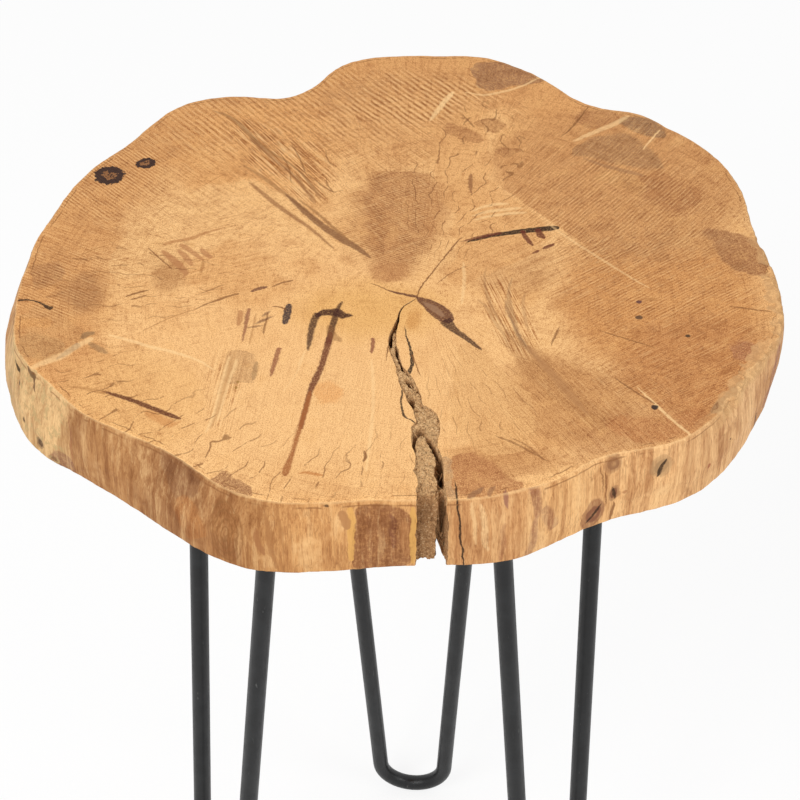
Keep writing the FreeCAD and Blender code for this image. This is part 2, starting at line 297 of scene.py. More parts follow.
# Points nearer to each other than this are merged, in metres
MERGE_DISTANCE = 2e-6


def weld(mesh: bpy.types.Mesh, crease: float) -> None:
    """Merges coinciding points, turns the faces outwards and shades them smooth.

    Args:
        mesh: the mesh to change.
        crease: faces that meet at more than this angle, in degrees, keep a sharp edge.
    """
    edit = bmesh.new()
    edit.from_mesh(mesh)
    bmesh.ops.remove_doubles(edit, verts=edit.verts, dist=MERGE_DISTANCE)
    loose = [vertex for vertex in edit.verts if not vertex.link_faces]
    bmesh.ops.delete(edit, geom=loose, context="VERTS")
    bmesh.ops.recalc_face_normals(edit, faces=edit.faces)
    edit.to_mesh(mesh)
    edit.free()
    mesh.polygons.foreach_set("use_smooth", np.ones(len(mesh.polygons), bool))
    mesh.set_sharp_from_angle(angle=math.radians(crease))
    mesh.update()


def closed_mesh(name: str, sheets: Sequence[Sheet], caps: Sequence[tuple] = (),
                crease: float = 38.0) -> bpy.types.Object:
    """Joins sheets whose borders meet into one closed skin.

    Each grid of rows × columns points gives (rows − 1) × (columns − 1) faces between neighbours. Points
    that coincide are merged, and the faces are turned to point outwards.

    Args:
        name: name of the new object.
        sheets: the grids, in millimetres in the table's own frame.
        caps: flat faces as (outline points, material number, values by name).
        crease: faces that meet at more than this angle, in degrees, keep a sharp edge.

    Returns:
        The object, linked into the scene.
    """
    vertices, faces, materials = [], [], []
    names = sorted({key for sheet in sheets for key in sheet.values})
    values = {key: [] for key in names}
    start = 0
    for sheet in sheets:
        rows, columns = sheet.points.shape[:2]
        index = start + np.arange(rows * columns).reshape(rows, columns)
        quads = np.stack([index[:-1, :-1], index[:-1, 1:], index[1:, 1:], index[1:, :-1]], axis=-1)
        vertices.append(sheet.points.reshape(-1, 3))
        faces.extend(quads.reshape(-1, 4).tolist())
        materials.extend([sheet.material] * quads.shape[0] * quads.shape[1])
        for key in names:
            given = sheet.values.get(key, np.zeros((rows, columns)))
            values[key].append(np.broadcast_to(given, (rows, columns)).reshape(-1))
        start += rows * columns
    for outline, material, given in caps:
        vertices.append(outline)
        faces.append(list(range(start, start + len(outline))))
        materials.append(material)
        for key in names:
            values[key].append(given[key])
        start += len(outline)
    mesh = bpy.data.meshes.new(name)
    mesh.from_pydata((np.concatenate(vertices) * MM).tolist(), [], faces)
    mesh.polygons.foreach_set("material_index", np.array(materials, np.int32))
    for key in names:
        attribute = mesh.attributes.new(key, "FLOAT", "POINT")
        attribute.data.foreach_set("value", np.concatenate(values[key]).astype(np.float32))
    weld(mesh, crease)
    piece = bpy.data.objects.new(name, mesh)
    bpy.context.scene.collection.objects.link(piece)
    return piece


Number = Union[float, "Field"]


def paint(red: int, green: int, blue: int) -> tuple:
    """The shader's linear colour for one as it looks on a screen, 0 to 255 each."""
    shares = np.array([red, green, blue]) / 255.0
    linear = np.where(shares <= 0.04045, shares / 12.92, ((shares + 0.055) / 1.055) ** 2.4)
    return (*(float(value) for value in linear), 1.0)


class Field:
    """A number that a material works out at every point, with the usual arithmetic."""

    def __init__(self, graph: "Graph", socket: Socket) -> None:
        """Keeps the graph and the socket that gives the number."""
        self.graph = graph
        self.socket = socket

    def __add__(self, other: Number) -> "Field":
        """Sum."""
        return self.graph.math("ADD", self, other)

    def __radd__(self, other: Number) -> "Field":
        """Sum."""
        return self.graph.math("ADD", self, other)

    def __sub__(self, other: Number) -> "Field":
        """Difference."""
        return self.graph.math("SUBTRACT", self, other)

    def __rsub__(self, other: Number) -> "Field":
        """Difference from a number."""
        return self.graph.math("SUBTRACT", other, self)

    def __mul__(self, other: Number) -> "Field":
        """Product."""
        return self.graph.math("MULTIPLY", self, other)

    def __rmul__(self, other: Number) -> "Field":
        """Product."""
        return self.graph.math("MULTIPLY", self, other)

    def __truediv__(self, other: Number) -> "Field":
        """Quotient."""
        return self.graph.math("DIVIDE", self, other)

    def size(self) -> "Field":
        """The number without its sign."""
        return self.graph.math("ABSOLUTE", self)

    def least(self, other: Number) -> "Field":
        """The lower of two numbers."""
        return self.graph.math("MINIMUM", self, other)

    def most(self, other: Number) -> "Field":
        """The higher of two numbers."""
        return self.graph.math("MAXIMUM", self, other)

    def ease(self, low: float, high: float, start: float = 0.0, end: float = 1.0) -> "Field":
        """Eases from `start` where the number is `low` to `end` where it is `high`."""
        if low > high:
            low, high, start, end = high, low, end, start
        node = self.graph.node("ShaderNodeMapRange", interpolation_type="SMOOTHSTEP", clamp=False)
        for socket, value in zip(node.inputs, (self, low, high, start, end)):
            self.graph.feed(socket, value)
        return Field(self.graph, node.outputs[0])


class Graph:
    """A material's or world's node tree, built by plain calls in the order in which it is worked out."""

    # How far a drawn line goes on past its first and its last point, in millimetres
    BLUNT_END = 0.9

    def __init__(self, tree: bpy.types.NodeTree) -> None:
        """Empties the tree.

        Args:
            tree: node tree to build in.
        """
        self.tree = tree
        tree.nodes.clear()

    def node(self, kind: str, **settings: object) -> bpy.types.Node:
        """Adds a node of a kind with its settings."""
        made = self.tree.nodes.new(kind)
        for name, value in settings.items():
            setattr(made, name, value)
        return made

    def feed(self, socket: Socket, value: object) -> None:
        """Links a socket to a field or another socket, or sets it to a plain value."""
        if isinstance(value, Field):
            self.tree.links.new(value.socket, socket)
        elif isinstance(value, Socket):
            self.tree.links.new(value, socket)
        else:
            socket.default_value = value

    def math(self, operation: str, *values: Number) -> Field:
        """One step of arithmetic."""
        node = self.node("ShaderNodeMath", operation=operation)
        for socket, value in zip(node.inputs, values):
            self.feed(socket, value)
        return Field(self, node.outputs[0])

    def vector_math(self, operation: str, *values: object) -> bpy.types.Node:
        """One step of vector arithmetic; gives the node."""
        node = self.node("ShaderNodeVectorMath", operation=operation)
        sockets = [socket for socket in node.inputs if socket.type == "VECTOR"]
        for socket, value in zip(sockets, values):
            self.feed(socket, value)
        return node

    def plan(self, middle: Sequence[float], flat: bool = False) -> Socket:
        """Place in millimetres about the legs' axis, from the object's own coordinates.

        Args:
            middle: plan coordinates of the object's own origin.
            flat: whether the third number is 1 everywhere, as `axes_at` needs it, instead of the height.

        Returns:
            The socket that gives the place.
        """
        coordinates = self.node("ShaderNodeTexCoord")
        node = self.node("ShaderNodeMapping", vector_type="POINT")
        self.feed(node.inputs[0], coordinates.outputs["Object"])
        node.inputs[1].default_value = (float(middle[0]), float(middle[1]), 1.0 if flat else 0.0)
        node.inputs[3].default_value = (1.0 / MM, 1.0 / MM, 0.0 if flat else 1.0 / MM)
        return node.outputs[0]

    def axes_at(self, vector: Socket, centre: Sequence[float], turn: float,
                sizes: Sequence[float] = (1.0, 1.0)) -> tuple:
        """Readings along and across a direction, from a centre, in units of `sizes`.

        Each is one dot product of the place (x, y, 1) with (cos/size, sin/size, −centre's own reading).
        """
        angle = math.radians(turn)
        readings = []
        for way, size in (((math.cos(angle), math.sin(angle)), sizes[0]),
                          ((-math.sin(angle), math.cos(angle)), sizes[1])):
            x, y = way[0] / size, way[1] / size
            node = self.vector_math("DOT_PRODUCT", vector, (x, y, -(x * centre[0] + y * centre[1])))
            readings.append(Field(self, node.outputs["Value"]))
        return tuple(readings)

    def axes(self, vector: Socket) -> tuple:
        """The three numbers of a vector, as fields."""
        node = self.node("ShaderNodeSeparateXYZ")
        self.feed(node.inputs[0], vector)
        return tuple(Field(self, socket) for socket in node.outputs)

    def vector(self, x: Number, y: Number, z: Number = 0.0) -> Socket:
        """A vector from three numbers."""
        node = self.node("ShaderNodeCombineXYZ")
        for socket, value in zip(node.inputs, (x, y, z)):
            self.feed(socket, value)
        return node.outputs[0]

    def local(self, vector: Socket, centre: Sequence[float], turn: float,
              sizes: Sequence[float]) -> Socket:
        """Place relative to a centre, along axes turned by `turn` degrees, in units of `sizes`."""
        node = self.node("ShaderNodeMapping", vector_type="TEXTURE")
        self.feed(node.inputs[0], vector)
        node.inputs[1].default_value = (*centre, *(0.0,) * (3 - len(centre)))
        node.inputs[2].default_value = (0.0, 0.0, math.radians(turn))
        node.inputs[3].default_value = (*sizes, *(1.0,) * (3 - len(sizes)))
        return node.outputs[0]

    def noise(self, vector: Socket, width: float = 1.0, detail: float = 2.0,
              roughness: float = 0.5, distortion: float = 0.0, flat: bool = True) -> Field:
        """Smooth fractal noise about one half, with lumps of a width; flat noise ignores the third axis."""
        node = self.node("ShaderNodeTexNoise", noise_dimensions="2D" if flat else "3D")
        self.feed(node.inputs["Vector"], vector)
        node.inputs["Scale"].default_value = 1.0 / width
        node.inputs["Detail"].default_value = detail
        node.inputs["Roughness"].default_value = roughness
        node.inputs["Distortion"].default_value = distortion
        return Field(self, node.outputs[0])

    def warp(self, vector: Socket, width: float, reach: float, detail: float = 2.0) -> Socket:
        """The place pushed about by noise, by up to about `reach` each way."""
        node = self.node("ShaderNodeTexNoise", noise_dimensions="2D")
        self.feed(node.inputs["Vector"], vector)
        node.inputs["Scale"].default_value = 1.0 / width
        node.inputs["Detail"].default_value = detail
        push = self.vector_math("MULTIPLY_ADD", node.outputs[1], (2.0 * reach, 2.0 * reach, 0.0),
                                (-reach, -reach, 0.0))
        return self.vector_math("ADD", push.outputs[0], vector).outputs[0]

    def grain(self, vector: Socket, turn: float, long: float, short: float, detail: float = 2.0,
              roughness: float = 0.55) -> Field:
        """Noise drawn out along a direction: `long` that way and `short` across it."""
        return self.noise(self.local(vector, (0.0, 0.0), turn, (long, short)), 1.0, detail, roughness)

    def spot(self, vector: Socket, centre: Sequence[float], halves: Sequence[float], turn: float = 0.0,
             soft: float = 0.5, strength: float = 1.0) -> Field:
        """Oval patch: `strength` inside, easing to 0 at its rim over the outer `soft` of its radius."""
        x, y = self.axes_at(vector, centre, turn, halves)
        reach = x * x + y * y
        return reach.ease(1.0, (1.0 - soft) ** 2, 0.0, strength)

    def curve(self, value: Field, points: Sequence[Sequence[float]]) -> Field:
        """A number read off a smooth curve through points, all within 0 to 1."""
        node = self.node("ShaderNodeFloatCurve")
        node.mapping.extend = "HORIZONTAL"
        line = node.mapping.curves[0]
        while len(line.points) > 2:
            line.points.remove(line.points[1])
        line.points[0].location = points[0]
        line.points[1].location = points[-1]
        for x, y in points[1:-1]:
            line.points.new(x, y)
        for point in line.points:
            point.handle_type = "AUTO_CLAMPED"
        node.mapping.update()
        self.feed(node.inputs["Value"], value)
        return Field(self, node.outputs[0])

    def stroke(self, vector: Socket, points: Sequence[Sequence[float]], soft: float = 0.8,
               strength: float = 1.0) -> Field:
        """A drawn line: how much of it covers a point.

        In axes along and across the line from its first point to its last, the line's offset and its
        half width are read off two curves, and the cover eases from 0 to `strength` over `soft`, half
        of it inside the half width and half outside.

        Args:
            vector: place in millimetres.
            points: the line's plan points, each with its half width; they go steadily from first to last.
            soft: width of the rim.
            strength: cover inside.

        Returns:
            The cover.
        """
        table = np.array(points, float)[:, :2]
        widths = np.array(points, float)[:, 2]
        run = table[-1] - table[0]
        length = float(np.hypot(*run))
        way = run / length
        side = np.array([-way[1], way[0]])
        whole = length + 2.0 * self.BLUNT_END
        shares = (self.BLUNT_END + (table - table[0]) @ way) / whole
        offsets = (table - table[0]) @ side
        span = float(max(offsets.max() - offsets.min(), 2.0 * float(widths.max()) + soft, 1.0) * 2.2)
        shift = (offsets.max() + offsets.min()) / 2.0
        base = table[0] + side * (shift - span / 2.0)
        base = base - way * self.BLUNT_END
        turn = math.degrees(math.atan2(way[1], way[0]))
        share, across = self.axes_at(vector, base, turn, (whole, span))
        centre = self.curve(share, [(s, 0.5 + (o - shift) / span) for s, o in zip(shares, offsets)])
        drawn = [(s, (w + soft / 2.0) / span) for s, w in zip(shares, widths)]
        width = self.curve(share, [(0.0, 0.0), *drawn, (1.0, 0.0)])
        inside = width - (across - centre).size()
        return inside.ease(0.0, soft / span, 0.0, strength)

    def blend(self, under: object, over: object, cover: Number, mode: str = "MIX") -> Socket:
        """Colour `over` laid on colour `under` by a cover of 0 to 1."""
        node = self.node("ShaderNodeMix", data_type="RGBA", blend_type=mode)
        self.feed(node.inputs[0], cover)
        self.feed(node.inputs[6], under)
        self.feed(node.inputs[7], over)
        return node.outputs[2]

    def ramp(self, value: Field, stops: Sequence[tuple]) -> Socket:
        """Colour read off a ramp of (place, colour) stops."""
        node = self.node("ShaderNodeValToRGB")
        elements = node.color_ramp.elements
        elements[0].position, elements[0].color = stops[0]
        elements[1].position, elements[1].color = stops[-1]
        for place, colour in stops[1:-1]:
            elements.new(place).color = colour
        self.feed(node.inputs[0], value)
        return node.outputs[0]

    def layers(self, name: str, under: object, vector: Socket, marks: Sequence["Mark"],
               fade: Field, step: int = 12) -> Socket:
        """Lays drawn lines on a colour, in groups of nodes of a few lines each.

        Args:
            name: name of the groups.
            under: colour below.
            vector: place in millimetres, with 1 as its third number.
            marks: the lines, in the order in which they are laid.
            fade: share of its strength that a line has at a place.
            step: how many lines a group has.

        Returns:
            The socket of the colour.
        """
        for first in range(0, len(marks), step):
            tree = bpy.data.node_groups.new("%s_%d" % (name, first), "ShaderNodeTree")
            for socket, kind in (("Under", "Color"), ("Place", "Vector"), ("Fade", "Float")):
                tree.interface.new_socket(socket, in_out="INPUT", socket_type="NodeSocket" + kind)
            tree.interface.new_socket("Colour", in_out="OUTPUT", socket_type="NodeSocketColor")
            inner = Graph(tree)
            colour, place, share = inner.node("NodeGroupInput").outputs[:3]
            for mark in marks[first:first + step]:
                cover = inner.stroke(place, mark.points, mark.soft, mark.strength) * Field(inner, share)
                colour = inner.blend(colour, mark.colour, cover)
            inner.feed(inner.node("NodeGroupOutput").inputs[0], colour)
            group = self.node("ShaderNodeGroup", node_tree=tree)
            for socket, value in zip(group.inputs, (under, vector, fade)):
                self.feed(socket, value)
            under = group.outputs[0]
        return under

    def attribute(self, name: str) -> Field:
        """A number stored on the mesh."""
        return Field(self, self.node("ShaderNodeAttribute", attribute_name=name).outputs["Fac"])

    def looked_at(self) -> Field:
        """1 for rays that come from the camera straight, off a shine or through glass, else 0."""
        rays = self.node("ShaderNodeLightPath")
        camera, glossy, clear = (Field(self, rays.outputs["Is %s Ray" % kind])
                                 for kind in ("Camera", "Glossy", "Transmission"))
        return camera.most(glossy).most(clear)

    def bump(self, height: Field, depth: float, strength: float = 1.0) -> Socket:
        """Normal of a surface with a relief, whose height of 0 to 1 stands for `depth` millimetres."""
        node = self.node("ShaderNodeBump")
        node.inputs["Strength"].default_value = strength
        node.inputs["Distance"].default_value = depth * MM
        self.feed(node.inputs["Height"], height)
        return node.outputs[0]


class Finish:
    """A material: its name, and a method that draws it."""

    name = "finish"

    def material(self) -> bpy.types.Material:
        """Makes the material.

        Returns:
            The material, with a Principled shader fed by `draw`.
        """
        made = bpy.data.materials.new(self.name)
        made.use_nodes = True
        graph = Graph(made.node_tree)
        shader = self.draw(graph)
        output = graph.node("ShaderNodeOutputMaterial")
        graph.feed(output.inputs["Surface"], shader)
        return made

    def draw(self, graph: Graph) -> Socket:
        """Draws the finish and gives the shader's socket."""
        raise NotImplementedError

    @staticmethod
    def principled(graph: Graph, **values: object) -> Socket:
        """The Principled shader with named sockets set or linked; underscores stand for spaces."""
        node = graph.node("ShaderNodeBsdfPrincipled")
        for name, value in values.items():
            graph.feed(node.inputs[name.replace("_", " ")], value)
        return node.outputs[0]

    @staticmethod
    def crumbled(graph: Graph, colour: Socket, band: Field, crumbs: Field, tones: Sequence[tuple]) -> Socket:
        """Lays torn wood on a colour where `band` says: a pale tone, brown crumbs and dark cracks."""
        colour = graph.blend(colour, tones[0], band * 0.6)
        colour = graph.blend(colour, tones[1], band * crumbs.ease(0.48, 0.60, 0.0, 0.6))
        cracks = (crumbs - 0.52).size().ease(0.010, 0.002, 0.0, 0.6)
        return graph.blend(colour, paint(120, 84, 54), band * cracks)


@dataclass(frozen=True)
class Zone:
    """A soft oval of one colour on the sawn face."""

    centre: tuple
    halves: tuple
    colour: tuple
    turn: float = 0.0
    soft: float = 0.5
    strength: float = 0.8


@dataclass(frozen=True)
class Hatch:
    """An oval where the saw's marks show: which way they run, how far apart, and how strong they are.

    Even marks are stripes at equal steps; the others are fine grain drawn out along the direction.
    """

    centre: tuple
    halves: tuple
    direction: float
    spacing: float
    strength: float
    turn: float = 0.0
    soft: float = 0.5
    even: bool = False


@dataclass(frozen=True)
class Mark:
    """A drawn line of one colour: plan points, each with its half width, then rim width and strength."""

    points: tuple
    colour: tuple
    soft: float = 0.8
    strength: float = 0.9


@dataclass(frozen=True)
class Tick:
    """A small oval mark: its middle, its half sizes, how far it is turned, and its look."""

    centre: tuple
    halves: tuple
    turn: float
    colour: tuple
    soft: float = 0.5
    strength: float = 0.8


BURN = paint(68, 38, 30)
PURPLE = paint(96, 54, 42)
RUST = paint(104, 50, 36)
UMBER = paint(130, 84, 48)
OCHRE = paint(164, 110, 62)
SHADOW = paint(46, 32, 24)
GREY_BROWN = paint(150, 116, 80)
PALE = paint(246, 206, 150)
# Lit grain on darker wood
GLOW = paint(238, 186, 122)
# Multiplied into a colour it gives the colour of the same wood where it is darker
DARKER = paint(202, 180, 165)
# Takes the white of the lamps' shine off the wood
WARMTH = paint(255, 254, 251)


@dataclass(frozen=True)
class PinKnot:
    """A small black knot with a ragged ring and a brown heart."""

    centre: tuple
    halves: tuple
    turn: float


@dataclass(frozen=True)
class EndGrain(Finish):
    """The sawn top: end grain with stained zones, saw marks, streaks, knots and hairline checks."""

    middle: tuple
    name: str = "sawn_end_grain"
    # The oval where the wood is plainest: centre, halves, turn, softness of its rim and strength
    calm: tuple = ((-22.0, -100.0), (110.0, 84.0), 0.0, 0.6, 0.8)
    zones: tuple = (
        Zone((-30, -118), (82, 62), paint(249, 201, 141), 0, 0.7, 0.95),
        Zone((-8, -44), (46, 30), paint(236, 184, 112), 0, 0.8, 0.75),
        Zone((-65, 92), (52, 50), paint(233, 176, 113), 0, 0.4, 0.8),
        Zone((10, 124), (54, 56), paint(227, 172, 113), 0, 0.4, 0.8),
        Zone((3, -14), (13, 9), paint(204, 148, 97), 20, 0.5, 0.6),
        Zone((58, -8), (36, 28), paint(222, 172, 117), 0, 0.6, 0.8),
        Zone((134, -38), (58, 68), paint(218, 158, 98), 0, 0.35, 0.95),
        Zone((150, -90), (46, 50), paint(204, 144, 90), 0, 0.4, 0.95),
        Zone((56, -152), (30, 14), paint(198, 142, 90), 0, 0.6, 0.7),
        Zone((86, -112), (34, 44), paint(202, 146, 92), 34, 0.5, 0.8),
        Zone((112, -138), (38, 24), paint(198, 144, 95), 25, 0.6, 0.6),
        Zone((-113, -113), (40, 50), paint(244, 194, 130), 0, 0.6, 0.75),
        Zone((-146, -32), (15, 22), paint(184, 132, 86), 0, 0.7, 0.8),
        Zone((-107, -10), (11, 26), paint(190, 138, 88), 8, 0.8, 0.75),
        Zone((15, -51), (4.5, 9), paint(208, 146, 78), 0, 0.8, 0.6),
    )
    patches: tuple = (
        Mark(((47, 166, 3), (50, 164, 11), (58, 162, 14.5), (67, 163, 12.5), (74, 161, 8), (81, 161, 4.5),
              (88, 162, 1)), paint(170, 124, 88), 2, 0.95),
        Mark(((44, 147, 14), (38, 133, 20), (31, 120, 19), (37, 102, 17), (40, 84, 15), (40, 67, 15),
              (48, 46, 18), (58, 25, 23), (56, 5, 20), (42, -13, 11), (35, -25, 3)), paint(232, 178, 118),
              3, 0.85),
        Mark(((32, 115, 2), (37, 110, 5), (44, 104, 5), (50, 99, 2)), paint(188, 133, 85), 1.6, 0.75),
        Mark(((50, 116, 3), (56, 114, 6), (62, 111, 4)), paint(182, 128, 80), 2, 0.75),
        Mark(((59, 90, 1.5), (64, 90, 3.4), (71, 91, 1)), paint(174, 120, 76), 1.6, 0.75),
        Mark(((10, 71, 8), (10, 60, 19), (9, 44, 21.5), (9, 27, 21), (7, 10, 17), (5, -1, 12), (4, -13, 9),
              (3, -22, 4)), paint(196, 140, 90), 12, 0.9),
        Mark(((160, 20, 2), (168, 14, 8), (175, 5, 12), (181, -4, 12), (187, -13, 6)), paint(166, 114, 76),
             2.5, 0.85),
        Mark(((28, -163, 13), (35, -162, 15), (44, -165, 12), (52, -169, 8), (61, -173, 2)),
             paint(190, 132, 86), 3, 0.85),
        Mark(((40, -70, 3), (42, -85, 9), (46, -101, 15), (49, -115, 19), (51, -129, 19), (53, -140, 14),
              (55, -148, 5)), paint(234, 184, 124), 3, 0.8),
        Mark(((-133, -14, 8), (-116, 9, 20), (-93, 27, 26), (-68, 42, 22), (-42, 27, 18), (-27, 12, 8)),
             paint(250, 203, 142), 5, 0.8),
        Mark(((-175, -67, 10), (-169, -64, 20), (-162, -63, 22), (-154, -63, 17), (-146, -65, 9),
              (-141, -64, 3)), paint(216, 163, 107), 2.5, 0.9),
        Mark(((-172, -71, 6), (-164, -71, 9), (-157, -72, 8), (-151, -72, 3)), paint(192, 147, 98), 4, 0.7),
        Mark(((-176, -53, 3), (-168, -54, 4.5), (-160, -55, 2.5)), paint(228, 170, 106), 2.5, 0.8),
        Mark(((100, 91, 4), (112, 95, 11), (123, 92, 14), (134, 84, 10), (144, 76, 3)),
             paint(172, 129, 90), 4, 0.75),
        Mark(((126, 121, 3), (133, 116, 6), (140, 111, 6), (147, 103, 2)), paint(148, 114, 86), 2.5, 0.8),
        Mark(((102, 119, 4), (110, 120, 9), (118, 122, 7), (124, 122, 2)), paint(180, 126, 82), 3, 0.7),
        Mark(((134, 67, 5), (141, 57, 12), (148, 50, 12), (156, 39, 5)), paint(180, 122, 76), 5, 0.7),
        Mark(((111, 71, 4), (120, 65, 8), (128, 60, 7), (133, 53, 3)), paint(218, 166, 108), 4, 0.75),
        Mark(((118, 41, 4), (129, 36, 9), (139, 27, 10), (152, 14, 8), (162, 0, 4)), paint(214, 160, 104),
             4, 0.6),
        Mark(((-66, -76, 7), (-67, -87, 8), (-67, -98, 6)), paint(206, 161, 112), 2.5, 0.75),
        Mark(((-32, -107, 3), (-25, -105, 7), (-19, -104, 3)), paint(232, 165, 98), 5, 0.6),
        Mark(((-78, -167, 1.5), (-74, -166, 5), (-69, -167, 6), (-63, -170, 4.5), (-57, -173, 1)),
             paint(170, 122, 84), 1.4, 0.9),
        Mark(((-172, -18, 5), (-165, -16, 9), (-156, -16, 4)), paint(176, 124, 82), 5, 0.75),
        Mark(((163, -76, 3), (168, -75, 6), (175, -73, 2)), paint(176, 120, 92), 4, 0.6),
        Mark(((101, -128, 3), (110, -131, 9), (122, -131, 10), (135, -128, 8), (147, -121, 3)),
             paint(196, 133, 83), 4, 0.7),
        Mark(((58, -60, 3), (66, -76, 6), (75, -94, 7), (87, -111, 7), (100, -128, 4)),
             paint(190, 138, 88), 4, 0.6),
        Mark(((28, -150, 1.5), (29, -159, 2.4), (29, -169, 2.4), (30, -180, 2.2)), paint(200, 162, 120),
             1.4, 0.85),
    )
    hatches: tuple = (
        Hatch((-20, 118), (120, 62), -52, 0.55, 0.6, 10, 0.4),
        Hatch((-40, 128), (112, 42), -52, 3.2, 0.5, 14, 0.4, True),
        Hatch((14, 138), (52, 26), -50, 3.2, 0.6, 0, 0.4, True),
        Hatch((-46, 78), (26, 46), -57, 1.1, 0.9, 30, 0.5),
        Hatch((42, 66), (26, 60), 78, 0.7, 0.3, 0, 0.5),
        Hatch((-56, 84), (16, 52), -57, 0.8, 1.4, 33, 0.5),
        Hatch((59, -46), (13, 42), -74, 0.8, 1.3, 12, 0.5),
        Hatch((-72, -104), (12, 36), 84, 1.0, 0.8, 0, 0.5),
        Hatch((34, -84), (16, 44), -80, 1.0, 0.25, 0, 0.5),
        Hatch((-4, 84), (52, 26), 38, 0.7, 0.4, 0, 0.5),
        Hatch((-120, 62), (62, 62), -47, 0.55, 0.5, 30, 0.5),
        Hatch((-142, 64), (50, 40), -47, 1.9, 0.6, 40, 0.5, True),
        Hatch((-150, -10), (40, 56), -30, 0.6, 0.5, 0, 0.5),
        Hatch((-158, -24), (30, 40), -32, 1.8, 0.45, 0, 0.5, True),
        Hatch((6, 30), (40, 50), 28, 1.4, 0.55, 0, 0.4, True),
        Hatch((6, 30), (40, 50), 28, 0.55, 0.5, 0, 0.4),
        Hatch((8, 34), (36, 48), -58, 0.8, 0.35, 0, 0.4),
        Hatch((124, 58), (78, 78), 56, 0.55, 0.45, 0, 0.35),
        Hatch((118, 40), (66, 60), 52, 2, 0.4, 0, 0.5, True),
        Hatch((136, -56), (64, 84), 36, 0.55, 0.5, 0, 0.4),
        Hatch((130, -20), (60, 50), 38, 1.8, 0.4, 0, 0.5, True),
        Hatch((88, -6), (52, 38), 37, 1.2, 0.4, 0, 0.6),
        Hatch((-96, 6), (70, 56), 21, 0.7, 0.4, 0, 0.5),
        Hatch((92, -120), (60, 50), -60, 0.6, 0.4, 0, 0.5),
        Hatch((-30, -110), (110, 80), 84, 0.7, 0.2, 0, 0.5),
    )
